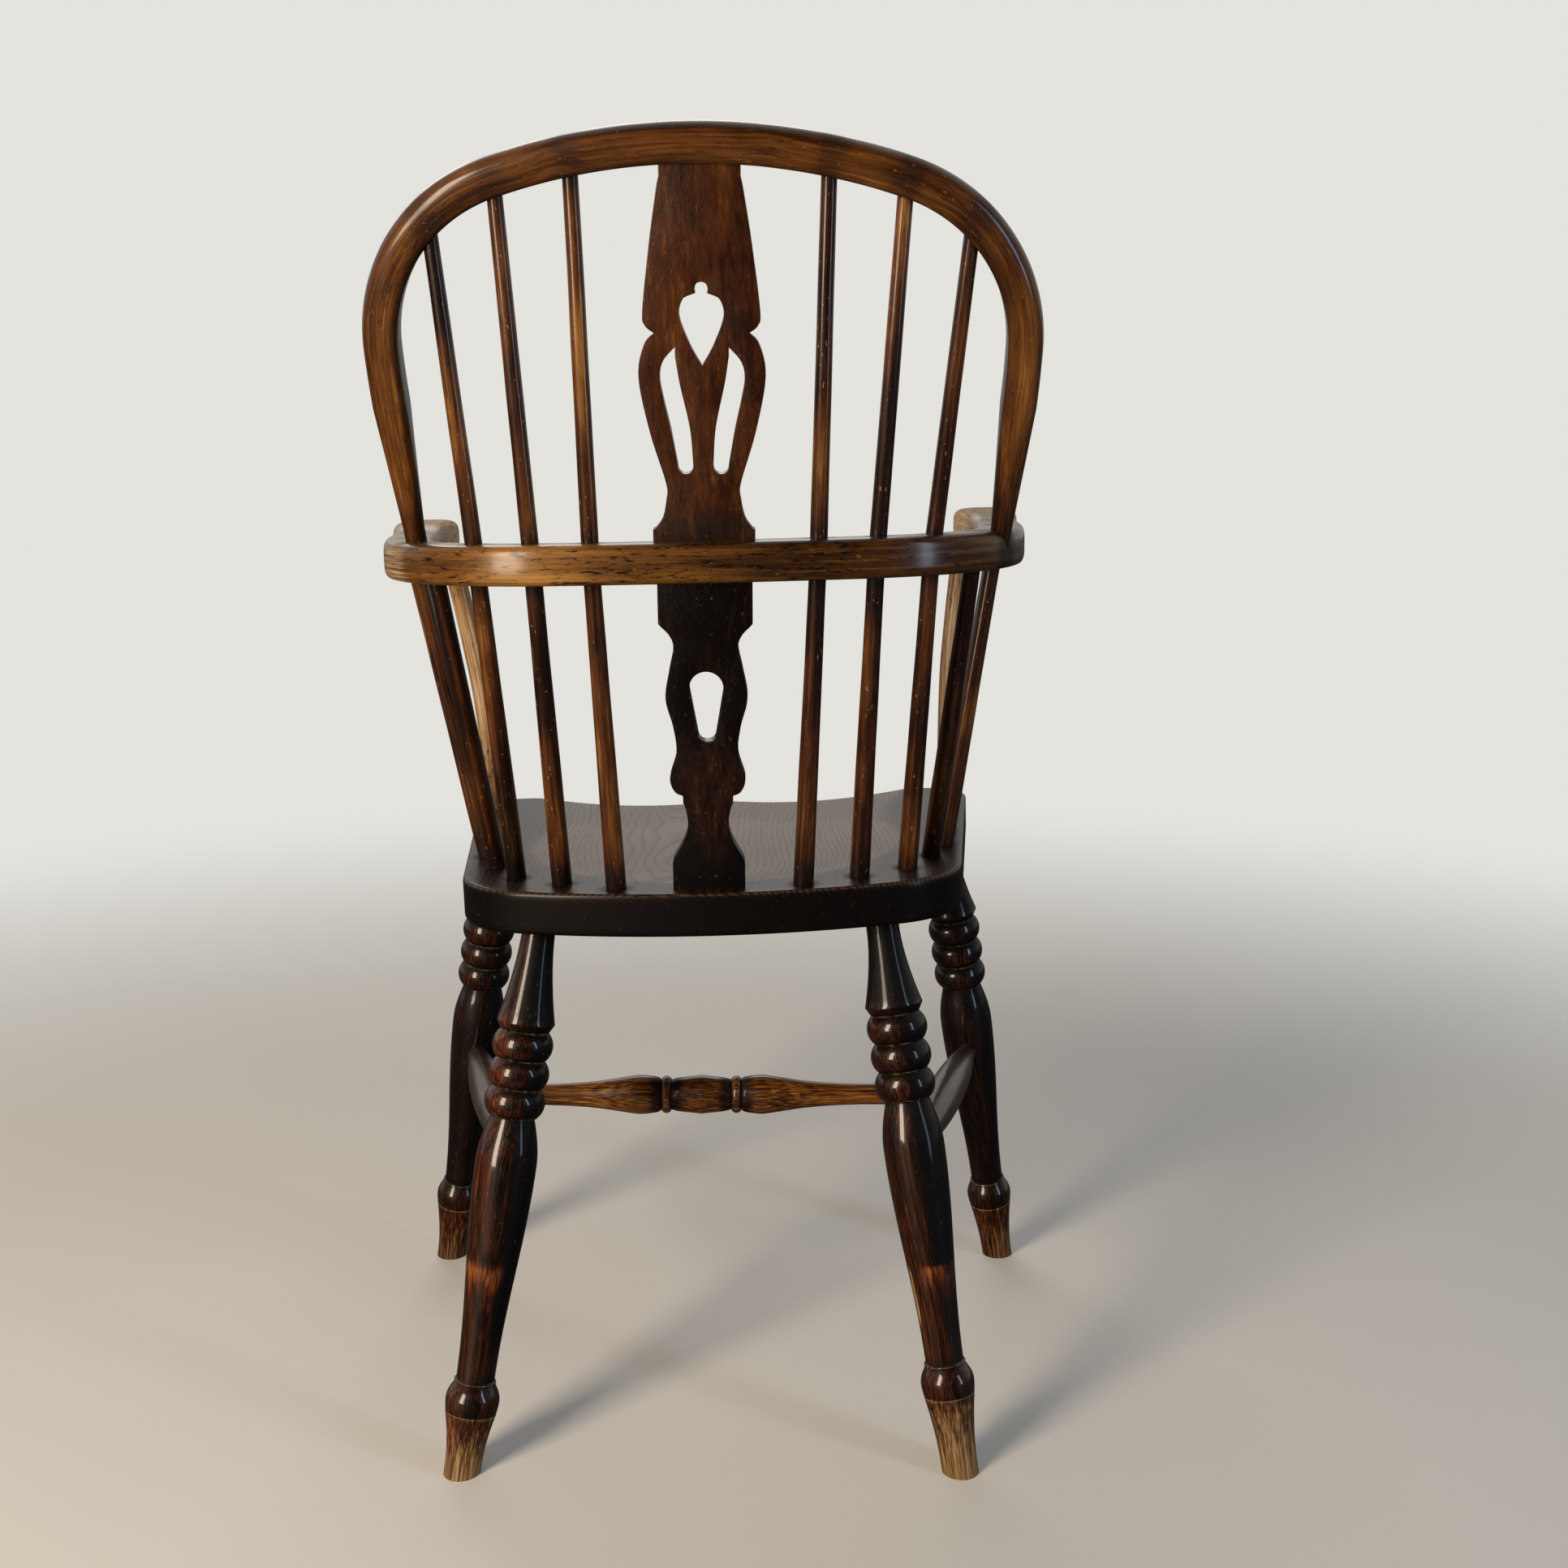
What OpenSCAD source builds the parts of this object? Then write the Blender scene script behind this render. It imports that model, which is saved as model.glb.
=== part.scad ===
// Windsor armchair: a hollowed plank seat on four turned legs, with an arm bow, a taller
// bent hoop above it, tapered sticks and a pierced splat in two lengths between them.
// The chair faces -Y and stands on Z = 0. Left is the sitter's left, which is +X.

/* [Seat] */
// Height of the seat's top above the floor
seat_h = 456; // [440:1:475]
// Thickness of the plank
seat_t = 34; // [32:1:42]
// Depth of the plank from its back edge to its front edge
seat_depth = 419; // [412:1:440]
// Width of the plank across its front corners
seat_front_w = 466; // [458:1:490]
// Radius of the curved back edge
seat_back_r = 515; // [440:1:640]
// Radius of the curved front edge
seat_front_r = 1500; // [1000:10:3000]
// Half the distance between the centres of the rear corners
seat_rear_x = 126; // [122:1:132]
// Radius of the rear corners
seat_rear_r = 75; // [70:1:82]
// Radius of the front corners
seat_corner_r = 38; // [25:1:50]
// Radius of the rim of the round dish
dish_r = 165; // [140:1:172]
// Depth of the round dish
dish_depth = 10; // [4:0.5:12]
// Distance of the dish's middle from the back edge
dish_back = 196; // [190:1:205]
// Depth of the two thigh hollows at the front edge
thigh_depth = 13; // [5:0.5:14]
// Distance of each thigh hollow from the middle of the seat
thigh_x = 60; // [50:1:70]
// Radius of the round bottom of a thigh hollow
thigh_r = 600; // [500:5:700]
// How far the worn seat leans down to its left, in degrees
seat_tilt = 1.5; // [0:0.1:2]

/* [Legs] */
// Distance of each back foot from the middle
back_foot_x = 195; // [188:1:205]
// Distance of the back feet behind the seat's back edge
back_foot_y = 36; // [28:1:45]
// Distance of each front foot from the middle
front_foot_x = 271; // [262:1:278]
// Distance of the front feet in front of the seat's back edge
front_foot_y = 351; // [345:1:362]
// Inward lean of the back legs for each millimetre of height
back_splay = 0.144; // [0.13:0.001:0.155]
// Forward lean of the back legs for each millimetre of height
back_rake = 0.200; // [0.185:0.001:0.215]
// Inward lean of the front legs for each millimetre of height
front_splay = 0.152; // [0.14:0.001:0.165]
// Backward lean of the front legs for each millimetre of height
front_rake = 0.099; // [0.085:0.001:0.115]
// Extra length of the back right foot, which has worn less
foot_back_right = 13.3; // [0:0.1:18]
// Extra length of the front left foot
foot_front_left = 11.2; // [0:0.1:18]
// Extra length of the front right foot
foot_front_right = 11.6; // [0:0.1:18]

/* [Leg turning] */
// Diameter at the bottom of the foot
foot_d = 28.5; // [24:0.5:32]
// Diameter at the top of the foot
foot_top_d = 39.8; // [36:0.1:41]
// Height of the cut line at the top of the foot
foot_top = 47.2; // [42:0.1:52]
// Depth of the cut line
foot_cut = 0.5; // [0.2:0.1:1]
// Diameter of the ball above the foot
ball_d = 42; // [41.5:0.1:46]
// Height of the ball
ball_h = 23.6; // [20:0.1:27]
// Diameter of the ball at its upper end
ball_waist_d = 31.5; // [29:0.5:32.5]
// Diameter of the thin fillet at the ankle
ankle_ring_d = 33; // [31:0.5:36]
// Height of the fillet at the ankle
ankle_ring_h = 2.4; // [1.5:0.1:4]
// Diameter of the ankle
ankle_d = 30; // [27:0.5:31]
// Diameter of the long swelling
bulb_d = 48.2; // [44:0.1:52]
// Height of the widest place of the swelling
bulb_at = 243; // [236:1:250]
// Height of the neck above the swelling
neck_at = 279.7; // [277:0.1:283]
// Diameter of the neck
neck_d = 34.8; // [33:0.1:37]
// Diameter of the three rings
ring_d = 47.8; // [44:0.1:52]
// Diameter of the grooves between the rings
ring_waist_d = 38; // [36:0.5:41]
// Height of the lowest ring's middle
ring_at = 292; // [291:0.1:294]
// Distance from one ring to the next
ring_pitch = 22.4; // [21.5:0.1:22.6]
// Diameter of the sharp collar, from which the top of the leg tapers to the seat
collar_d = 45.6; // [42:0.1:50]
// Height of the top of the collar
collar_at = 355; // [353:0.1:358]
// Thickness of the collar's edge
collar_t = 0.6; // [0.4:0.1:2]
// Diameter of the leg at the seat and of its tenon
leg_tenon_d = 26; // [23:0.1:28]

/* [Stretchers] */
// Height at which the side stretchers meet the front legs
side_front_z = 222; // [212:1:232]
// Height at which the side stretchers meet the back legs
side_back_z = 244; // [234:1:248]
// Largest diameter of the side stretchers
side_d = 32; // [29:0.5:36]
// Diameter of the ends of the side stretchers
side_end_d = 18; // [15:0.5:20]
// Length of the straight end of a side stretcher, measured from the leg's middle
side_straight = 34; // [30:1:60]
// Diameter of the ends of the cross stretcher
cross_end_d = 18; // [15:0.5:20]
// Distance of the turned pattern from the middle of the cross stretcher, to the left
cross_shift = 14; // [0:1:25]
// Diameter of the cross stretcher's barrel
cross_barrel_d = 33.3; // [30:0.1:38]
// Half the length of the barrel
cross_barrel_half = 25.8; // [20:0.1:27]
// Diameter of the beads beside the barrel
cross_bead_d = 32.4; // [29:0.1:36]
// Diameter of the grooves beside the beads
cross_groove_d = 26; // [22:0.5:28]
// Distance of the beads from the middle of the pattern
cross_bead_at = 30.4; // [29:0.1:32]
// Diameter of the vases
cross_vase_d = 33.7; // [30:0.1:38]
// Distance of the widest place of the vases from the middle of the pattern
cross_vase_at = 51; // [48:0.5:58]
// Distance from the middle of the pattern at which the thin ends begin
cross_thin_at = 138; // [125:1:145]

/* [Arm bow] */
// Height of the arm bow's underside
arm_z = 692; // [680:1:705]
// Thickness of the arm bow
arm_t = 30; // [27:0.5:34]
// Width of the arm bow
arm_w = 40; // [38:0.5:46]
// Distance of the middle of the bow's back behind the seat's back edge
arm_back_y = 21; // [17:1:25]
// Radius of the bow's back
arm_back_r = 900; // [700:10:1200]
// Radius of the bow's corners
arm_corner_r = 140; // [134:1:146]
// Distance of the corners' centres from the middle
arm_corner_x = 93; // [89:1:97]
// Radius of the bow's sides
arm_side_r = 1138; // [1050:1:1300]
// Direction of the sides where they leave the corners, in degrees off straight ahead
arm_side_angle = 11.5; // [10.5:0.1:12.5]
// Length of the bow from its back to the tips of the hands
arm_reach = 405; // [398:1:412]
// Length of the hands
hand_len = 150; // [120:1:170]
// Length over which the top rises to the hands
hand_rise = 55; // [30:1:70]
// Width of the hands
hand_w = 57; // [48:0.5:62]
// Thickness of the hands
hand_t = 36; // [34:0.5:40]
// Distance of the middle of each hand from the middle of the chair
hand_x = 257; // [253:0.5:261]
// How far the bow is turned to its left, in degrees
arm_skew = 1.8; // [0:0.1:2.2]
// How far the bow leans down to its left, in degrees
arm_tilt = 1.2; // [0:0.1:1.5]

/* [Hoop] */
// Height of the hoop's middle line above the arm bow, measured along its leaning plane
hoop_rise = 288.5; // [278:0.5:300]
// Distance of the hoop's ends in front of the seat's back edge
hoop_y = 49; // [45:1:53]
// Backward lean of the hoop, in degrees
hoop_lean = 22.3; // [21.5:0.1:23]
// Largest distance of the hoop's middle line from the middle of the chair
hoop_x = 228.5; // [226:0.5:231]
// Radius of the hoop's top
hoop_top_r = 447; // [420:1:480]
// Radius of the hoop's shoulders
hoop_corner_r = 125; // [118:1:132]
// Radius of the bend in the hoop's sides
hoop_side_r = 720; // [680:10:780]
// Height along the plane at which the sides begin to taper
hoop_taper_at = 103; // [80:1:120]
// Width and thickness of the hoop
hoop_w = 26; // [24:0.5:29]
// Diameter of the hoop's ends
hoop_end_d = 16; // [14:0.5:18]

/* [Sticks] */
// Inner long stick on the seat: distance from the middle, distance from the back edge
inner_foot = [72, 24]; // [20:1:240]
// Middle long stick on the seat
middle_foot = [116, 44]; // [20:1:240]
// Outer long stick on the seat
outer_foot = [155, 68]; // [20:1:240]
// Inner long stick in the arm bow: distance from the middle, distance behind the back edge
inner_arm = [82, 16]; // [-20:1:240]
// Middle long stick in the arm bow
middle_arm = [125, 9]; // [-20:1:240]
// Outer long stick in the arm bow
outer_arm = [167, -6]; // [-20:1:240]
// Distance of the inner long stick from the middle, in the hoop
inner_top_x = 87.5; // [84:0.5:91]
// Distance of the middle long stick from the middle, in the hoop
middle_top_x = 140; // [136:0.5:144]
// Distance of the outer long stick from the middle, in the hoop
outer_top_x = 187; // [183:0.5:190]
// Rear short stick on the seat: distance from the middle, distance from the back edge
rear_foot = [177, 109]; // [20:1:240]
// Middle short stick on the seat
mid_foot = [191, 149]; // [20:1:240]
// Front short stick on the seat
front_foot = [197, 204]; // [20:1:240]
// Rear short stick in the arm bow: distance from the middle, distance from the back edge
rear_arm = [203, 37]; // [20:1:260]
// Middle short stick in the arm bow
mid_arm = [234, 132]; // [20:1:260]
// Front short stick in the arm bow
front_arm = [247, 222]; // [20:1:260]
// Diameter of the sticks at the seat
stick_d = 15.6; // [14:0.1:17]
// Diameter of the sticks at the arm bow
stick_arm_d = 12.9; // [11:0.1:14]
// Diameter of the long sticks at the hoop
stick_top_d = 10.9; // [9:0.1:12]

/* [Arm supports] */
// Arm support on the seat: distance from the middle, distance behind the front edge
support_foot = [214, 61]; // [20:1:240]
// Arm support under the hand: distance from the middle, distance behind the tip of the hand
support_top = [236, 30]; // [20:1:240]
// Diameter of the arm supports
support_d = 18; // [16:0.5:20]
// Inward bend of the arm supports
support_bend = 5; // [2:0.5:8]

/* [Splats] */
// Thickness of the splats
splat_t = 10; // [8:0.5:12]
// Distance of the upper splat's foot behind the seat's back edge
splat_arm_y = 23; // [21:0.5:25]
// Distance of the lower splat's foot in front of the seat's back edge
splat_foot_y = 21; // [18:0.5:26]
// Half the width of the upper splat's foot
upper_foot_half = 36.4; // [33:0.1:38]
// Half the width of the upper splat at its widest
upper_wide_half = 44.2; // [42:0.1:47]
// Half the width of the upper splat's head
upper_head_half = 27.6; // [25:0.1:29]
// Half the width of the lower splat's head
lower_head_half = 34.3; // [32:0.1:36]
// Half the width of the lower splat's foot
lower_foot_half = 27.5; // [26:0.1:29]

/* [Joints] */
// Clearance round each tenon in its socket
fit = 0.15; // [0.05:0.01:0.3]
// Clearance beyond the end of each tenon
end_gap = 1; // [0.5:0.1:2]
// Depth of the leg sockets in the seat
leg_socket = 16; // [12:0.5:16]
// Depth of the stick sockets in the seat
stick_socket = 14; // [10:0.5:14]
// Depth of the splats' mortises
splat_socket = 11; // [8:0.5:12]
// Depth of the hoop's sockets in the arm bow
hoop_socket = 17; // [14:0.5:18]

/* [Hidden] */
left = 1;
right = -1;

// Points along a bend, length of a cut that passes right through, and roundness of a stick's knee
steps = 12;
through = 30;
knee = 0.1;

seat_wood = [0.23, 0.16, 0.11];
leg_wood = [0.14, 0.06, 0.04];
bent_wood = [0.45, 0.26, 0.12];
stick_wood = [0.27, 0.14, 0.07];
splat_wood = [0.22, 0.08, 0.04];
$fn = 96;

// Seat outline: the corner circles touch the back and front curves from inside
rear_turn = asin(seat_rear_x / (seat_back_r - seat_rear_r));
rear_c = [seat_rear_x, (seat_back_r - seat_rear_r) * cos(rear_turn) - seat_back_r];
front_x = seat_front_w / 2 - seat_corner_r;
front_drop = sqrt(pow(seat_front_r - seat_corner_r, 2) - pow(front_x, 2));
front_c = [front_x, seat_front_r - seat_depth - front_drop];
front_turn = asin(front_x / (seat_front_r - seat_corner_r));
side_way = front_c - rear_c;
side_turn = atan2(side_way.y, side_way.x) + acos((seat_rear_r - seat_corner_r) / norm(side_way));

// The hoop's line, in its own plane: x across, y up the lean
hoop_top_c = [0, hoop_rise - hoop_top_r];
hoop_corner_x = hoop_x - hoop_corner_r;
hoop_corner_up = sqrt(pow(hoop_top_r - hoop_corner_r, 2) - pow(hoop_corner_x, 2));
hoop_corner_c = [hoop_corner_x, hoop_top_c.y + hoop_corner_up];
hoop_turn = atan2(hoop_corner_x, hoop_corner_up);
hoop_side_c = [hoop_x - hoop_side_r, hoop_corner_c.y];
hoop_side_turn = asin((hoop_corner_c.y - hoop_taper_at) / hoop_side_r);
hoop_side_low = hoop_side_c + hoop_side_r * [cos(hoop_side_turn), -sin(hoop_side_turn)];
hoop_straight = 8;
hoop_sides = 20;
hoop_square = 0.8;

// Legs: small step between two turnings, straight neck under the seat, seam turned off the foot's cut,
// straight sole, how hollow the foot and the top taper are, and where the ball is widest
step = 0.4;
leg_neck = 8;
leg_turn = 37;
foot_sole = 5;
foot_hollow = 1.8;
top_hollow = 1.7;
ball_middle = 0.42;

// The arm bow's line in plan, measured from the middle of its back
arm_turn = asin(arm_corner_x / (arm_back_r - arm_corner_r));
arm_corner_c = [arm_corner_x, (arm_back_r - arm_corner_r) * cos(arm_turn) - arm_back_r];
arm_side_start = arm_corner_c + arm_corner_r * [cos(arm_side_angle), sin(arm_side_angle)];
arm_side_c = arm_side_start - arm_side_r * [cos(arm_side_angle), sin(arm_side_angle)];
hand_start_y = hand_len - arm_reach;
arm_side_end = asin((hand_start_y - arm_side_c.y) / arm_side_r);
hand_tip = [hand_x, hand_w / 2 - arm_reach];
arm_mid_z = arm_z + arm_t / 2;
arm_top_z = arm_z + arm_t;

// The whole chair is moved so that the middle of its box stands over the origin
hoop_back = hoop_rise * sin(hoop_lean) - hoop_y + hoop_w / 2;
hand_side = hand_x + hand_w / 2 + (arm_reach - hand_w / 2) * sin(arm_skew);
middle = [(hand_side - front_foot_x - foot_d / 2) / 2, (hoop_back - seat_depth) / 2, 0];

function mix(a, b, t) = a + (b - a) * t;
function ease(t) = (1 - cos(180 * t)) / 2;
function arc(c, r, from, to, n) =
  [for (i = [0:n]) c + r * [cos(mix(from, to, i / n)), sin(mix(from, to, i / n))]];
function flip(points) = [for (i = [len(points) - 1:-1:0]) [-points[i].x, points[i].y]];

// A smooth curve through every point of a list
function bend(a, b, c, d, t) =
  b + (c - a) * t / 2 + (2 * a - 5 * b + 4 * c - d) * t * t / 2
  + (3 * b - a - 3 * c + d) * t * t * t / 2;
function curve(p, n = 6) = [
  for (i = [0:len(p) - 2], k = [0:n - 1])
    bend(p[max(i - 1, 0)], p[i], p[i + 1], p[min(i + 2, len(p) - 1)], k / n),
  p[len(p) - 1]
];

// Profile of a turned ring, from its lower waist to just below its upper one
function ring_profile(low, d, waist_d, h) =
  let (out = (d - waist_d) / 2, r = (h * h / 4 + out * out) / (2 * out), turn = asin(h / 2 / r))
  [for (i = [0:steps - 1]) let (a = mix(-turn, turn, i / steps))
    [d / 2 - r + r * cos(a), low + h / 2 + r * sin(a)]];

// Legs: foot, lean for each millimetre of height, extra length of the foot
function back_leg(side, extra) =
  [[side * back_foot_x, back_foot_y, 0], [-side * back_splay, -back_rake, 1], extra];
function front_leg(side, extra) =
  [[side * front_foot_x, -front_foot_y, 0], [-side * front_splay, front_rake, 1], extra];
function leg_at(leg, z) = leg[0] + z * leg[1];
back_left = back_leg(left, 0);
back_right = back_leg(right, foot_back_right);
front_left = front_leg(left, foot_front_left);
front_right = front_leg(right, foot_front_right);
legs = [back_left, back_right, front_left, front_right];

// Ends of the stretchers
function side_front(side) = leg_at(side == left ? front_left : front_right, side_front_z);
function side_back(side) = leg_at(side == left ? back_left : back_right, side_back_z);
function side_middle(side) = (side_front(side) + side_back(side)) / 2;

// Places in the turned and leaning arm bow
function arm_place(p) =
  let (
    a = p - [0, arm_back_y, arm_mid_z],
    x = a.x * cos(arm_tilt) + a.z * sin(arm_tilt),
    z = a.z * cos(arm_tilt) - a.x * sin(arm_tilt)
  )
  [x * cos(arm_skew) - a.y * sin(arm_skew), x * sin(arm_skew) + a.y * cos(arm_skew), z]
  + [0, arm_back_y, arm_mid_z];

// Places in the hoop's plane
function hoop_place(p) =
  [p.x, p.y * sin(hoop_lean) - hoop_y, arm_top_z + p.y * cos(hoop_lean)];
function hoop_line(x) =
  abs(x) < hoop_top_r * sin(hoop_turn)
  ? hoop_top_c.y + sqrt(pow(hoop_top_r, 2) - pow(x, 2))
  : hoop_corner_c.y + sqrt(pow(hoop_corner_r, 2) - pow(abs(x) - hoop_corner_c.x, 2));

// Sticks: foot on the seat, place in the arm bow and, if long, place in the hoop
function on_seat(side, p) = [side * p.x, -p.y, seat_h];
function in_arm(side, x, y) = arm_place([side * x, y, arm_mid_z]);
function in_hoop(side, x) = hoop_place([side * x, hoop_line(x)]);
function long_stick_points(side) = [
  [on_seat(side, inner_foot), in_arm(side, inner_arm.x, inner_arm.y), in_hoop(side, inner_top_x)],
  [on_seat(side, middle_foot), in_arm(side, middle_arm.x, middle_arm.y), in_hoop(side, middle_top_x)],
  [on_seat(side, outer_foot), in_arm(side, outer_arm.x, outer_arm.y), in_hoop(side, outer_top_x)]
];
function short_stick_points(side) = [
  [on_seat(side, rear_foot), in_arm(side, rear_arm.x, -rear_arm.y)],
  [on_seat(side, mid_foot), in_arm(side, mid_arm.x, -mid_arm.y)],
  [on_seat(side, front_foot), in_arm(side, front_arm.x, -front_arm.y)]
];
function support_points(side) =
  let (
    low = on_seat(side, [support_foot.x, seat_depth - support_foot.y]),
    high = arm_place([side * support_top.x, arm_back_y - arm_reach + support_top.y, arm_z])
  )
  [low, (low + high) / 2 - [side * support_bend, 0, 0], high];

// Splats stand in planes that lean back from foot to head
lower_splat_foot = [0, -splat_foot_y, seat_h];
lower_splat_head = [0, arm_back_y, arm_z];
upper_splat_foot = [0, splat_arm_y, arm_top_z];
upper_splat_head = hoop_place([0, hoop_rise]);
function splat_lean(foot, head) = atan2(head.y - foot.y, head.z - foot.z);
lower_len = norm(lower_splat_head - lower_splat_foot);
upper_len = norm(upper_splat_head - upper_splat_foot);

// The upper splat's head lies in the hoop: distances of its end and of its shoulder below the middle line
splat_head_in = 1.5;
upper_shoulder_in = 22;

// The splats' outlines are drawn for these lengths, and stretch with the real ones
lower_drawn = 239.7;
upper_drawn = 269.5;
function stretched(points, k) = [for (p = points) [p.x, p.y * k]];

// Every piece is drawn through this, so that the chair stands over the origin
module stand(wood) {
  color(wood) translate(-middle) children();
}

// Turns Z to point from p to q
module along(p, q) {
  way = q - p;
  translate(p) rotate([0, acos(way.z / norm(way)), atan2(way.y, way.x)]) children();
}

module bore(p, q, d, back, depth) {
  along(p, q) translate([0, 0, -depth]) cylinder(d = d + 2 * fit, h = back + depth);
}

module seat_outline() {
  back_c = [0, -seat_back_r];
  edge_c = [0, seat_front_r - seat_depth];
  polygon(concat(
    arc(back_c, seat_back_r, 90 + rear_turn, 90 - rear_turn, steps),
    arc(rear_c, seat_rear_r, 90 - rear_turn, side_turn, steps),
    arc(front_c, seat_corner_r, side_turn, front_turn - 90, steps),
    arc(edge_c, seat_front_r, front_turn - 90, -front_turn - 90, steps),
    flip(arc(front_c, seat_corner_r, side_turn, front_turn - 90, steps)),
    flip(arc(rear_c, seat_rear_r, 90 - rear_turn, side_turn, steps))
  ));
}

module dish() {
  r = (dish_r * dish_r + dish_depth * dish_depth) / (2 * dish_depth);
  translate([0, -dish_back, seat_h - dish_depth])
    rotate_extrude()
      intersection() {
        translate([0, r]) circle(r = r, $fn = 720);
        square([2 * dish_r, 2 * dish_depth]);
      }
}

module thigh_hollow(side) {
  reach = seat_depth - dish_back;
  translate([side * thigh_x, -seat_depth, seat_h - thigh_depth + thigh_r])
    rotate([-90 + atan(thigh_depth / reach), 0, 0])
      translate([0, 0, -reach]) cylinder(r = thigh_r, h = 2 * reach, $fn = 360);
}

module seat() {
  stand(seat_wood) difference() {
    translate([0, 0, seat_h]) rotate([0, seat_tilt, 0]) translate([0, 0, -seat_h])
      difference() {
        translate([0, 0, seat_h - seat_t]) linear_extrude(seat_t) seat_outline();
        dish();
        thigh_hollow(left);
        thigh_hollow(right);
      }
    for (leg = legs)
      bore(leg_at(leg, seat_h - seat_t + leg_socket), leg_at(leg, seat_h), leg_tenon_d, 0, 2 * leg_socket);
    for (side = [left, right]) {
      for (s = long_stick_points(side)) bore(s[0], s[1], stick_d, through, stick_socket);
      for (s = short_stick_points(side)) bore(s[0], s[1], stick_d, through, stick_socket);
      bore(support_points(side)[0], support_points(side)[1], support_d, through, stick_socket);
    }
    lower_splat_mortise();
  }
}

// The ball's width at k of its height, widest at ball_middle
function ball_width(k) = k < ball_middle
  ? mix(foot_top_d, ball_d, sin(90 * k / ball_middle))
  : mix(ball_waist_d, ball_d, cos(90 * (k - ball_middle) / (1 - ball_middle)));

// The turned profile of a leg; extra is wood left below the foot's pattern
function leg_profile(extra, under) =
  let (
    low = -extra - foot_top / 2,
    flat = foot_sole - extra,
    ball_end = foot_top + ball_h,
    ankle = ball_end + ankle_ring_h,
    ring_low = ring_at - ring_pitch / 2,
    top = under + leg_socket - end_gap - extra
  )
  concat(
    [[0, low], [foot_d / 2, low]],
    [for (i = [0:steps]) [
      mix(foot_d, foot_top_d, pow(i / steps, foot_hollow)) / 2, mix(flat, foot_top - foot_cut, i / steps)
    ]],
    [[foot_top_d / 2 - foot_cut, foot_top]],
    [for (i = [0:steps]) [ball_width(i / steps) / 2, mix(foot_top + foot_cut, ball_end, i / steps)]],
    [[ankle_ring_d / 2, ball_end + step], [ankle_ring_d / 2, ankle]],
    [for (i = [0:steps]) [
      mix(ankle_d, bulb_d, ease(i / steps)) / 2, mix(ankle + step, bulb_at, i / steps)
    ]],
    [for (i = [1:steps]) [
      mix(neck_d, bulb_d, cos(90 * i / steps)) / 2, mix(bulb_at, neck_at, i / steps)
    ]],
    [for (i = [0:2]) each ring_profile(ring_low + i * ring_pitch, ring_d, ring_waist_d, ring_pitch)],
    [[ring_waist_d / 2, ring_low + 3 * ring_pitch], [collar_d / 2, collar_at - collar_t]],
    [for (i = [0:steps]) [
      mix(leg_tenon_d, collar_d, pow(1 - i / steps, top_hollow)) / 2,
      mix(collar_at, under - extra - leg_neck, i / steps)
    ]],
    [[leg_tenon_d / 2, top], [0, top]]
  );

module leg(leg) {
  under = norm(leg_at(leg, seat_h - seat_t) - leg[0]);
  stand(leg_wood) difference() {
    along(leg[0], leg_at(leg, seat_h)) rotate([0, 0, leg_turn])
      rotate_extrude() translate([0, leg[2]]) polygon(leg_profile(leg[2], under));
    translate([leg[0].x, leg[0].y, -foot_top]) cube(2 * foot_top, center = true);
    for (side = [left, right]) side_bores(side);
  }
}

// Holes for the side stretchers, which end at the legs' middles
module side_bores(side) {
  along(side_front(side), side_back(side)) cylinder(d = side_end_d + 2 * fit, h = side_straight);
  along(side_back(side), side_front(side)) cylinder(d = side_end_d + 2 * fit, h = side_straight);
}

module side_stretcher(side) {
  len = norm(side_back(side) - side_front(side));
  half = len / 2 - side_straight;
  swell = (side_d - side_end_d) / 2;
  r = (half * half + swell * swell) / (2 * swell);
  stand(stick_wood) difference() {
    along(side_front(side), side_back(side)) rotate_extrude() union() {
      translate([0, end_gap]) square([side_end_d / 2, len - 2 * end_gap]);
      translate([0, len / 2]) intersection() {
        translate([side_d / 2 - r, 0]) circle(r = r, $fn = 720);
        translate([0, -half]) square([side_d, 2 * half]);
      }
    }
    cross_bore(side);
  }
}

module cross_bore(side) {
  along(side_middle(side), side_middle(-side)) cylinder(d = cross_end_d + 2 * fit, h = side_d);
}

module cross_stretcher() {
  len = norm(side_middle(left) - side_middle(right));
  groove = cross_groove_d / 2;
  bead_half = cross_bead_at - cross_barrel_half;
  vase_from = cross_bead_at + bead_half;
  half = concat(
    curve([
      [cross_barrel_d / 2, 0], [mix(groove, cross_barrel_d / 2, 0.47), cross_barrel_half * 0.72],
      [groove, cross_barrel_half]
    ]),
    arc([cross_bead_d / 2 - bead_half, cross_bead_at], bead_half, -90, 90, 8),
    curve([
      [groove + 0.4, vase_from], [mix(groove, cross_vase_d / 2, 0.6), vase_from + 3.5],
      [cross_vase_d / 2, cross_vase_at], [cross_vase_d / 2 - 0.8, cross_vase_at + 10],
      [mix(cross_end_d, cross_vase_d, 0.38) / 2, mix(cross_vase_at, cross_thin_at, 0.43)],
      [mix(cross_end_d, cross_vase_d, 0.12) / 2, mix(cross_vase_at, cross_thin_at, 0.71)],
      [cross_end_d / 2, cross_thin_at]
    ])
  );
  stand(bent_wood)
    along(side_middle(left), side_middle(right)) rotate_extrude() union() {
      translate([0, len / 2 - cross_shift]) polygon(concat(
        [for (i = [len(half) - 1:-1:0]) [half[i].x, -half[i].y]], half,
        [[0, cross_thin_at], [0, -cross_thin_at]]
      ));
      translate([0, end_gap]) square([cross_end_d / 2, len - 2 * end_gap]);
    }
}

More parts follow.
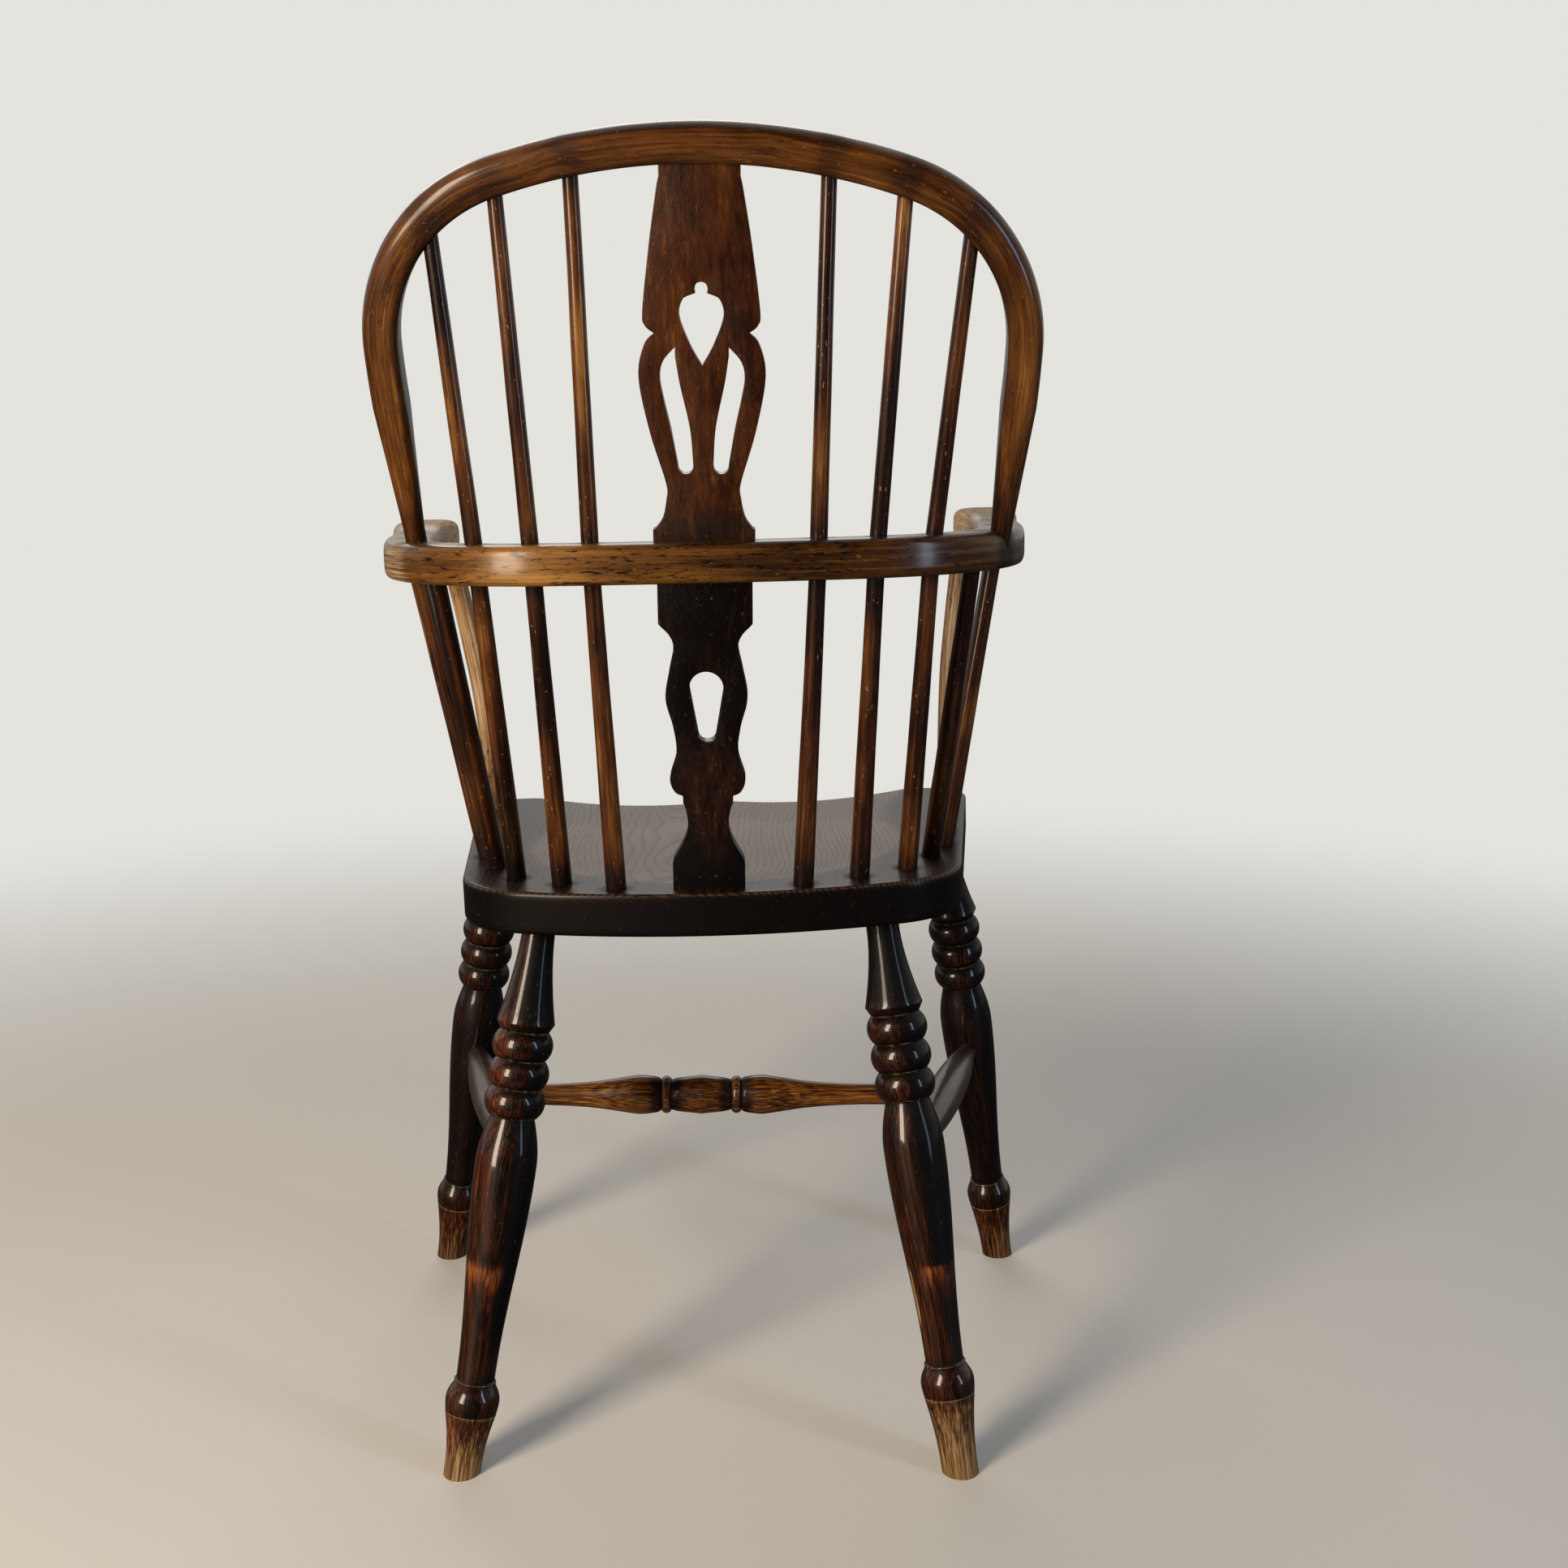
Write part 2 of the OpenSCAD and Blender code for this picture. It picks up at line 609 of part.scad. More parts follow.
// Plan of the arm bow: its line is followed at a distance out from the middle
function arm_edge(out) = concat(
  arc([0, -arm_back_r], arm_back_r + out, 90, 90 - arm_turn, steps),
  arc(arm_corner_c, arm_corner_r + out, 90 - arm_turn, arm_side_angle, 2 * steps),
  arc(arm_side_c, arm_side_r + out, arm_side_angle, arm_side_end, steps)
);

module arm_outline() {
  edge = concat(
    arm_edge(arm_w / 2), arc(hand_tip, hand_w / 2, 0, -180, 2 * steps),
    [for (i = [len(arm_edge(0)) - 1:-1:0]) arm_edge(-arm_w / 2)[i]]
  );
  polygon(concat(edge, flip(edge)));
}

// Side view that the bow is cut to: level at the back, then rising to the hands
module arm_side_view() {
  polygon([
    [-arm_w, 0], [-arm_w, arm_t], [-hand_start_y, arm_t], [hand_rise - hand_start_y, hand_t],
    [arm_reach, hand_t], [arm_reach, 0]
  ]);
}

module arm_bow() {
  stand(bent_wood) difference() {
    translate([0, arm_back_y, arm_mid_z]) rotate([0, arm_tilt, arm_skew])
      translate([0, 0, -arm_t / 2]) intersection() {
        linear_extrude(hand_t) arm_outline();
        translate([arm_reach, 0, 0]) rotate([90, 0, -90]) linear_extrude(2 * arm_reach) arm_side_view();
      }
    for (side = [left, right]) {
      for (s = long_stick_points(side)) {
        bore(s[1], s[0], stick_arm_d, through, 0);
        bore(s[1], s[2], stick_arm_d, through, 0);
        translate(s[1]) sphere(d = stick_arm_d + 2 * fit + knee);
      }
      for (s = short_stick_points(side)) bore(s[1], s[0], stick_arm_d, through, 0);
      bore(support_points(side)[2], support_points(side)[1], support_d, through, stick_socket);
      hoop_end_bore(side);
    }
    lower_splat_mortise();
    upper_splat_mortise();
  }
}

// The hoop is one sweep: each station has a place in the plane, a direction outward and a width
function hoop_arc(c, r, from, to, n) = [
  for (i = [0:n - 1]) let (a = mix(from, to, i / n)) [c + r * [cos(a), sin(a)], a, hoop_w]
];
function hoop_end_station(s) =
  let (x = hoop_side_low.x - (hoop_side_low.y - s) * tan(hoop_side_turn))
  let (t = (s - hoop_straight) / (hoop_taper_at - hoop_straight))
  [[x, s], -hoop_side_turn, mix(hoop_end_d, hoop_w, max(t, 0))];
hoop_half = concat(
  [for (s = [end_gap - hoop_socket, hoop_straight, (hoop_straight + hoop_taper_at) / 2])
    hoop_end_station(s)],
  hoop_arc(hoop_side_c, hoop_side_r, -hoop_side_turn, 0, 3),
  hoop_arc(hoop_corner_c, hoop_corner_r, 0, 90 - hoop_turn, steps),
  hoop_arc(hoop_top_c, hoop_top_r, 90 - hoop_turn, 90, steps)
);
hoop_stations = concat(
  hoop_half, [[hoop_top_c + [0, hoop_top_r], 90, hoop_w]],
  [for (i = [len(hoop_half) - 1:-1:0])
    let (h = hoop_half[i]) [[-h[0].x, h[0].y], 180 - h[1], h[2]]]
);

// A ring of the sweep: round at the ends, with flatter sides where the hoop is thick
function squared(v, thick) = sign(v) * pow(abs(v), mix(1, hoop_square, thick));
function hoop_ring(h) = [
  for (i = [0:hoop_sides - 1]) let (
    a = 360 * i / hoop_sides,
    thick = (h[2] - hoop_end_d) / (hoop_w - hoop_end_d),
    out = squared(cos(a), thick) * h[2] / 2,
    deep = squared(sin(a), thick) * h[2] / 2
  )
  hoop_place(h[0] + out * [cos(h[1]), sin(h[1])]) + deep * [0, -cos(hoop_lean), sin(hoop_lean)]
];

// A closed skin over rings of n points
module skin(rings) {
  n = len(rings[0]);
  last = len(rings) - 1;
  polyhedron(
    points = [for (ring = rings) each ring],
    faces = concat(
      [[for (i = [0:n - 1]) i]],
      [for (k = [0:last - 1], i = [0:n - 1]) each [
        [k * n + i, (k + 1) * n + i, (k + 1) * n + (i + 1) % n],
        [k * n + i, (k + 1) * n + (i + 1) % n, k * n + (i + 1) % n]
      ]],
      [[for (i = [n - 1:-1:0]) last * n + i]]
    )
  );
}

function hoop_side(side, s) =
  let (p = hoop_end_station(s)[0]) hoop_place([side * p.x, p.y]);

module hoop_end_bore(side) {
  bore(hoop_side(side, 0), hoop_side(side, hoop_taper_at), hoop_end_d, through, hoop_socket);
}

module hoop() {
  stand(bent_wood) difference() {
    skin([for (h = hoop_stations) hoop_ring(h)]);
    for (side = [left, right])
      for (s = long_stick_points(side)) bore(s[2], s[1], stick_top_d, through, end_gap);
    upper_splat_mortise();
  }
}

// Turned, tapered stick from p to q
module stick(p, q, d, top_d, low, high, straight) {
  len = norm(q - p);
  along(p, q) rotate_extrude() polygon([
    [0, -low], [d / 2, -low], [d / 2, straight], [top_d / 2, len - straight],
    [top_d / 2, len + high], [0, len + high]
  ]);
}

module long_stick(side, i) {
  s = long_stick_points(side)[i];
  stand(stick_wood) union() {
    stick(s[0], s[1], stick_d, stick_arm_d, stick_socket - end_gap, 0, arm_t);
    stick(s[1], s[2], stick_arm_d, stick_top_d, 0, 0, arm_t);
    translate(s[1]) sphere(d = stick_arm_d + knee);
  }
}

module short_stick(side, i) {
  s = short_stick_points(side)[i];
  stand(stick_wood)
    stick(s[0], s[1], stick_d, stick_arm_d, stick_socket - end_gap, -end_gap, arm_t);
}

module arm_support(side) {
  p = support_points(side);
  stand(stick_wood) union() {
    stick(p[0], p[1], support_d, support_d, stick_socket - end_gap, 0, arm_t);
    stick(p[1], p[2], support_d, support_d, 0, stick_socket - end_gap, arm_t);
    translate(p[1]) sphere(d = support_d + knee);
  }
}

// Boards: the outline lies in x and up, and stands in a plane from foot to head
module board(foot, head, t) {
  translate(foot) rotate([90 - splat_lean(foot, head), 0, 0])
    translate([0, 0, -t / 2]) linear_extrude(t) children();
}

module mirrored(half) {
  polygon(concat(half, flip(half)));
}

module upper_splat() {
  k = upper_len / upper_drawn;
  outline = concat(
    [[upper_foot_half, 9]],
    curve([
      [upper_foot_half - 1.5, 9], [upper_foot_half - 7, 17], [26.5, 30], [26.5, 42], [37, 77],
      [upper_wide_half, 115], [40, 137], [33, 145]
    ]),
    curve([
      [33, 145], [39, 150], [40.5, 160], [35, 204], [upper_head_half + 2, 238],
      [upper_head_half, (upper_len - upper_shoulder_in) / k]
    ])
  );
  half = concat(
    [[upper_foot_half, end_gap - splat_socket]],
    stretched(outline, k),
    [[upper_head_half, upper_len - splat_head_in]]
  );
  keyhole = concat(
    [[0, 123]], curve([[0, 123], [8, 137], [15.2, 156], [13, 167], [7, 170.5]]),
    curve([[4, 171.5], [4.5, 175], [3, 178], [0, 179]])
  );
  leaf = concat(
    curve([[18.6, 135.5], [27, 126], [29.5, 115], [26.6, 98], [22.5, 80], [18, 55]]),
    arc([12.5, 53.6], 5.4, 0, -180, 8),
    curve([[7.1, 55], [9, 80], [15.5, 110], [18.6, 129]])
  );
  stand(splat_wood) board(upper_splat_foot, upper_splat_head, splat_t) difference() {
    mirrored(half);
    mirrored(stretched(keyhole, k));
    for (side = [0, 1]) mirror([side, 0, 0]) polygon(stretched(leaf, k));
  }
}

module lower_splat() {
  k = lower_len / lower_drawn;
  outline = concat(
    [[lower_foot_half, 22]],
    curve([[lower_foot_half - 1, 26], [18, 42], [15.4, 54], [17, 66], [18.8, 71]]),
    curve([
      [18.8, 76.5], [25, 80], [28.2, 91], [23, 111], [25, 131], [30.2, 153], [27, 175],
      [23.7, 192], [lower_head_half - 8, 201], [lower_head_half - 1.6, 208]
    ]),
    [[lower_head_half, 210]]
  );
  half = concat(
    [[lower_foot_half, end_gap - splat_socket]],
    stretched(outline, k),
    [[lower_head_half, lower_len + splat_socket - end_gap]]
  );
  keyhole = concat(arc([0, 126.1], 6.6, -90, -8, 6), arc([0, 161.3], 12.5, -12, 90, 9));
  stand(splat_wood) board(lower_splat_foot, lower_splat_head, splat_t) difference() {
    mirrored(half);
    mirrored(stretched(keyhole, k));
  }
}

module upper_splat_mortise() {
  board(upper_splat_foot, upper_splat_head, splat_t + 2 * fit) {
    translate([-upper_foot_half - fit, -splat_socket]) square([2 * (upper_foot_half + fit), through]);
    translate([-upper_head_half - fit, upper_len - upper_shoulder_in + end_gap])
      square([2 * (upper_head_half + fit), upper_shoulder_in - splat_head_in]);
  }
}

module lower_splat_mortise() {
  board(lower_splat_foot, lower_splat_head, splat_t + 2 * fit) {
    translate([-lower_foot_half - fit, -splat_socket]) square([2 * (lower_foot_half + fit), through]);
    translate([-lower_head_half - fit, lower_len - splat_socket])
      square([2 * (lower_head_half + fit), 2 * splat_socket]);
  }
}

seat();
leg(back_left);  // leg_back_left
leg(back_right);  // leg_back_right
leg(front_left);  // leg_front_left
leg(front_right);  // leg_front_right
side_stretcher(left);  // side_stretcher_left
side_stretcher(right);  // side_stretcher_right
cross_stretcher();
arm_bow();
hoop();
upper_splat();
lower_splat();
long_stick(left, 2);  // long_stick_left_outer
long_stick(left, 1);  // long_stick_left_middle
long_stick(left, 0);  // long_stick_left_inner
long_stick(right, 0);  // long_stick_right_inner
long_stick(right, 1);  // long_stick_right_middle
long_stick(right, 2);  // long_stick_right_outer
short_stick(left, 2);  // short_stick_left_front
short_stick(left, 1);  // short_stick_left_middle
short_stick(left, 0);  // short_stick_left_rear
short_stick(right, 2);  // short_stick_right_front
short_stick(right, 1);  // short_stick_right_middle
short_stick(right, 0);  // short_stick_right_rear
arm_support(left);  // arm_support_left
arm_support(right);  // arm_support_right
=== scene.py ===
import math

import bmesh
import bpy
from mathutils import Matrix, Vector, noise


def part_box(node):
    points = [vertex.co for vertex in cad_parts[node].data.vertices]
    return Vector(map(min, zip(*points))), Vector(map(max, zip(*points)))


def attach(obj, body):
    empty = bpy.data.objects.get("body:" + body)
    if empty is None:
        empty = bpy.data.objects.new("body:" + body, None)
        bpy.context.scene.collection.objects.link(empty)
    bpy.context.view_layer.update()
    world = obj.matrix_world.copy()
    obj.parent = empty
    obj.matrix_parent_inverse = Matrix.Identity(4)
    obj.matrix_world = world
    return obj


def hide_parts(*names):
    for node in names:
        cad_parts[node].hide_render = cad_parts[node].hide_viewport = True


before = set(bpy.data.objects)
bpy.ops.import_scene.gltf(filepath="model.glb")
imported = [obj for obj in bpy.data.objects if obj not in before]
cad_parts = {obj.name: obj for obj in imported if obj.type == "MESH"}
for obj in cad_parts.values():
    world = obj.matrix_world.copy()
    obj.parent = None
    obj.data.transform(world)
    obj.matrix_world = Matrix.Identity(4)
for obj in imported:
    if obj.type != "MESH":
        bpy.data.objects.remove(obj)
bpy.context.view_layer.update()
print("frame loaded")

# The chair's own axes: x to the sitter's left of its middle, y back from the seat's back edge
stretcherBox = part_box("cross_stretcher")
chairMiddle = (stretcherBox[0].x + stretcherBox[1].x) / 2
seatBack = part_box("seat")[1].y
stand = Matrix.Translation((chairMiddle, seatBack, 0))
sides = {"left": 1, "right": -1}


# Camera, floor and light
cameraView = {"place": (-0.0562, 1.4896, 0.7863), "yaw": -0.30, "pitch": 10.58, "lens": 41.13, "sensor": 36}
studio = {
    "floorSize": 30, "floorColour": (238, 237, 233), "floorGloss": (52, 49, 46), "floorRough": 0.75,
    "mottleDepth": 0.96, "mottleScale": (3, 3, 3), "fadeFrom": 0.8, "fadeTo": 2.6,
    "backColour": (228, 227, 222), "ambient": 0.22, "wallGloss": 0.62, "roomGloss": 0.015, "wallEdge": 0.35,
    "aim": (0, 0, 0.5),
}
lamps = {
    "key": {"place": (1.55, 1.90, 1.20), "size": (0.70, 1.7), "power": 60, "colour": (255, 234, 208)},
    "cool": {"place": (-2.05, 1.35, 1.05), "size": (0.30, 1.6), "power": 11, "colour": (206, 226, 255)},
    "front": {"place": (0.6, -2.6, 2.3), "size": (2.2, 1.4), "power": 20, "colour": (255, 248, 240)},
}


def linear(colour):  # a colour as it looks on a screen, 0 to 255, to scene values
    return tuple(((c / 255 + 0.055) / 1.055) ** 2.4 if c > 10 else c / 255 / 12.92 for c in colour) + (1,)


def makeCamera():
    data = bpy.data.cameras.new("photoCamera")
    data.sensor_width = cameraView["sensor"]
    data.lens = cameraView["lens"]
    camera = bpy.data.objects.new("photoCamera", data)
    bpy.context.scene.collection.objects.link(camera)
    yaw, pitch = math.radians(cameraView["yaw"]), math.radians(cameraView["pitch"])
    way = Vector((math.sin(yaw) * math.cos(pitch), -math.cos(yaw) * math.cos(pitch), -math.sin(pitch)))
    camera.location = cameraView["place"]
    camera.rotation_euler = way.to_track_quat("-Z", "Y").to_euler()
    bpy.context.scene.camera = camera


def makeLamp(name, given):
    data = bpy.data.lights.new(name + "Lamp", "AREA")
    data.shape = "RECTANGLE"
    data.size, data.size_y = given["size"]
    data.energy = given["power"]
    data.color = linear(given["colour"])[:3]
    lamp = bpy.data.objects.new(name + "Lamp", data)
    bpy.context.scene.collection.objects.link(lamp)
    lamp.location = given["place"]
    way = Vector(studio["aim"]) - lamp.location
    lamp.rotation_euler = way.to_track_quat("-Z", "Y").to_euler()


def makeFloor():
    bm = bmesh.new()
    bmesh.ops.create_grid(bm, x_segments=1, y_segments=1, size=studio["floorSize"])
    mesh = bpy.data.meshes.new("floor")
    bm.to_mesh(mesh)
    bm.free()
    floor = bpy.data.objects.new("floor", mesh)
    bpy.context.scene.collection.objects.link(floor)
    material = bpy.data.materials.new("paleFloor")
    material.use_nodes = True
    tree = material.node_tree
    skin = tree.nodes["Principled BSDF"]
    place = coordinates(tree)
    pale = linear(studio["floorColour"])
    shade = [part * studio["mottleDepth"] for part in pale[:3]] + [1]
    path = addNode(tree, "LightPath")
    mottled = mixColour(tree, noiseOf(tree, place, studio["mottleScale"]), shade, pale)
    dimmed = mixColour(tree, path.outputs["Is Glossy Ray"], mottled, linear(studio["floorGloss"]))
    feed(tree, skin.inputs["Base Color"], dimmed)
    skin.inputs["Roughness"].default_value = studio["floorRough"]
    far = addNode(tree, "VectorMath", operation="LENGTH")
    feed(tree, far.inputs[0], place)
    fade = remap(tree, far.outputs["Value"], studio["fadeFrom"], studio["fadeTo"])
    seen = path.outputs["Is Camera Ray"]
    distant = addNode(tree, "Emission")
    distant.inputs["Color"].default_value = linear(studio["backColour"])
    blend = addNode(tree, "MixShader")
    feed(tree, blend.inputs[0], calculate(tree, "MULTIPLY", fade, seen))
    feed(tree, blend.inputs[1], skin.outputs[0])
    feed(tree, blend.inputs[2], distant.outputs[0])
    feed(tree, tree.nodes["Material Output"].inputs["Surface"], blend.outputs[0])
    mesh.materials.append(material)


# The backdrop is pale for the camera. Gloss shows a pale wall in front of the chair, a dim room behind it
def makeBackdrop():
    world = bpy.data.worlds.new("studio")
    world.use_nodes = True
    bpy.context.scene.world = world
    tree = world.node_tree
    tree.nodes["Background"].inputs["Color"].default_value = linear(studio["backColour"])
    path = addNode(tree, "LightPath")
    way = addNode(tree, "SeparateXYZ")
    feed(tree, way.inputs[0], addNode(tree, "TexCoord").outputs["Generated"])
    edge = studio["wallEdge"]
    gloss = remap(tree, way.outputs["Y"], -edge, edge, studio["wallGloss"], studio["roomGloss"])
    shiny = calculate(tree, "MAXIMUM", path.outputs["Is Glossy Ray"], path.outputs["Is Transmission Ray"])
    extra = calculate(tree, "SUBTRACT", gloss, studio["ambient"])
    level = calculate(tree, "MULTIPLY_ADD", extra, shiny, studio["ambient"])
    rest = calculate(tree, "SUBTRACT", 1.0, level)
    level = calculate(tree, "MULTIPLY_ADD", rest, path.outputs["Is Camera Ray"], level)
    feed(tree, tree.nodes["Background"].inputs["Strength"], level)


def makeStudio():
    bpy.context.scene.view_settings.view_transform = "Standard"
    makeFloor()
    makeBackdrop()
    for name, given in lamps.items():
        makeLamp(name, given)


# Node helpers
def addNode(tree, kind, **settings):
    node = tree.nodes.new("ShaderNode" + kind)
    for key, value in settings.items():
        setattr(node, key, value)
    return node


def feed(tree, socket, value):  # a number, a colour or another node's output
    if isinstance(value, bpy.types.NodeSocket):
        tree.links.new(value, socket)
    else:
        socket.default_value = value


def calculate(tree, operation, a, b=0.0, c=0.0, clamp=False):
    node = addNode(tree, "Math", operation=operation, use_clamp=clamp)
    for socket, value in zip(node.inputs, (a, b, c)):
        feed(tree, socket, value)
    return node.outputs[0]


def scaleVector(tree, vector, factors, operation="MULTIPLY"):
    node = addNode(tree, "VectorMath", operation=operation)
    feed(tree, node.inputs[0], vector)
    feed(tree, node.inputs[1], factors)
    return node.outputs[0]


def mixColour(tree, factor, a, b):
    node = addNode(tree, "Mix", data_type="RGBA")
    feed(tree, node.inputs["Factor"], factor)
    feed(tree, node.inputs["A"], a)
    feed(tree, node.inputs["B"], b)
    return node.outputs["Result"]


def remap(tree, value, low, high, outLow=0.0, outHigh=1.0):
    node = addNode(tree, "MapRange", interpolation_type="SMOOTHSTEP")
    for name, part in (("Value", value), ("From Min", low), ("From Max", high), ("To Min", outLow),
                       ("To Max", outHigh)):
        feed(tree, node.inputs[name], part)
    return node.outputs["Result"]


def noiseOf(tree, vector, scales, detail=2.0, rough=0.55):
    node = addNode(tree, "TexNoise")
    feed(tree, node.inputs["Vector"], scaleVector(tree, vector, scales))
    node.inputs["Scale"].default_value = 1
    node.inputs["Detail"].default_value = detail
    node.inputs["Roughness"].default_value = rough
    return node.outputs["Fac"]


def coordinates(tree):
    return addNode(tree, "TexCoord").outputs["Object"]


def surfaceMark(tree, name, output="Fac"):
    return addNode(tree, "Attribute", attribute_name=name).outputs[output]


def newGroup(name, inputs, outputs):
    group = bpy.data.node_groups.new(name, "ShaderNodeTree")
    for word, kind, start in inputs:
        socket = group.interface.new_socket(name=word, in_out="INPUT", socket_type="NodeSocket" + kind)
        if kind == "Float":
            socket.default_value = start
    for word in outputs:
        group.interface.new_socket(name=word, in_out="OUTPUT", socket_type="NodeSocketFloat")
    return group, group.nodes.new("NodeGroupInput"), group.nodes.new("NodeGroupOutput")


def placeGroup(tree, group, values):
    node = tree.nodes.new("ShaderNodeGroup")
    node.node_tree = group
    for name, value in values.items():
        feed(tree, node.inputs[name], value)
    return node


# Wood figure: z of the coordinates runs along the grain.
# Scales are repeats per metre, and cuts are the noise levels where a mark starts and is full
figureScale = {
    "drift": (14, 14, 5), "blotch": (30, 30, 7), "fleck": (380, 380, 85), "streak": (240, 240, 8),
    "fibre": (900, 900, 16), "pores": (1300, 1300, 60), "nick": (520, 520, 190),
}
figureCut = {"early": (0.0, 0.45), "late": (0.88, 1.0), "pores": (0.6, 0.7), "fleck": (0.54, 0.64),
             "nick": (0.71, 0.76), "fleckByBlotch": 0.35}


def makeWoodFigure():
    group, given, made = newGroup(
        "woodFigure",
        [("Grain", "Vector", 0), ("Ring Spacing", "Float", 0.004), ("Wander", "Float", 0.004)],
        ["Rings", "Streak", "Fibre", "Pores", "Blotch", "Fleck", "Nick"],
    )
    grain = given.outputs["Grain"]
    drift = addNode(group, "TexNoise")
    feed(group, drift.inputs["Vector"], scaleVector(group, grain, figureScale["drift"]))
    drift.inputs["Scale"].default_value = 1
    drift.inputs["Detail"].default_value = 2
    shift = scaleVector(group, drift.outputs["Color"], (0.5, 0.5, 0.5), "SUBTRACT")
    scale = addNode(group, "VectorMath", operation="SCALE")
    feed(group, scale.inputs[0], shift)
    feed(group, scale.inputs["Scale"], given.outputs["Wander"])
    wandering = scaleVector(group, grain, scale.outputs[0], "ADD")
    flat = addNode(group, "VectorMath", operation="LENGTH")
    feed(group, flat.inputs[0], scaleVector(group, wandering, (1, 1, 0)))
    years = calculate(group, "DIVIDE", flat.outputs["Value"], given.outputs["Ring Spacing"])
    year = calculate(group, "FRACT", years)
    early = remap(group, year, *figureCut["early"])
    late = remap(group, year, *figureCut["late"], 1.0, 0.0)
    blotch = noiseOf(group, wandering, figureScale["blotch"], 4, 0.6)
    spots = noiseOf(group, wandering, figureScale["fleck"], 5, 0.7)
    clear = calculate(group, "SUBTRACT", 0.5, blotch)
    spots = calculate(group, "MULTIPLY_ADD", clear, figureCut["fleckByBlotch"], spots)
    results = {
        "Rings": calculate(group, "MULTIPLY", early, late),
        "Streak": noiseOf(group, wandering, figureScale["streak"], 3, 0.6),
        "Fibre": noiseOf(group, wandering, figureScale["fibre"]),
        "Pores": remap(group, noiseOf(group, grain, figureScale["pores"], 1), *figureCut["pores"]),
        "Blotch": blotch,
        "Fleck": remap(group, spots, *figureCut["fleck"]),
        "Nick": remap(group, noiseOf(group, grain, figureScale["nick"], 1), *figureCut["nick"]),
    }
    for name, value in results.items():
        feed(group, made.inputs[name], value)
    return group


# Age and painted light: where hands, feet and years have lightened or darkened the polish, and where light
# and shade are painted in
fraying = {"Streak": 0.6, "Fibre": 0.7, "Blotch": 0.6}
bareRange = {"low": 0.15, "high": 0.95, "shownBy": 0.12}


def makeAgeAndLight():
    group, given, made = newGroup(
        "ageAndLight",
        [("Base", "Float", 0.5), ("Streak", "Float", 0.5), ("Fibre", "Float", 0.5), ("Blotch", "Float", 0.5),
         ("Rings", "Float", 0.5), ("Wear And Light", "Float", 0), ("Dirt And Shade", "Float", 0), ("Worn", "Float", 0),
         ("Streak Amount", "Float", 0.5), ("Fibre Amount", "Float", 0.5), ("Blotch Amount", "Float", 0.5),
         ("Ring Amount", "Float", 0.2), ("Wear And Light Amount", "Float", 0.3), ("Dirt And Shade Amount", "Float", 0.6)],
        ["Tone", "Bare"],
    )
    tone = given.outputs["Base"]
    for name, middle in (("Streak", 0.5), ("Fibre", 0.5), ("Blotch", 0.5), ("Rings", 0.6), ("Wear And Light", 0.0)):
        amount = "Ring Amount" if name == "Rings" else name + " Amount"
        part = calculate(group, "SUBTRACT", given.outputs[name], middle)
        tone = calculate(group, "MULTIPLY_ADD", part, given.outputs[amount], tone)
    dark = calculate(group, "MULTIPLY", given.outputs["Dirt And Shade"], given.outputs["Dirt And Shade Amount"])
    feed(group, made.inputs["Tone"], calculate(group, "SUBTRACT", tone, dark, clamp=True))
    frayed = given.outputs["Worn"]
    for name, share in fraying.items():
        part = calculate(group, "SUBTRACT", given.outputs[name], 0.5)
        frayed = calculate(group, "MULTIPLY_ADD", part, share, frayed)
    bare = remap(group, frayed, bareRange["low"], bareRange["high"])
    shown = remap(group, given.outputs["Worn"], 0.0, bareRange["shownBy"])
    feed(group, made.inputs["Bare"], calculate(group, "MULTIPLY", bare, shown, clamp=True))
    return group


# What every finish shares: bare threads, the effect of the dirt mark (dirt, and painted shade on the legs)
# on gloss, and the relief in the bump
finishing = {
    "threadFrom": 0.52, "threadTo": 0.96, "dirtRough": 0.25, "dirtDull": 0.7, "reliefHeight": 0.0005,
}
relief = {"Streak": 0.6, "Pores": -0.8, "Fleck": -0.4, "Nick": -0.6}


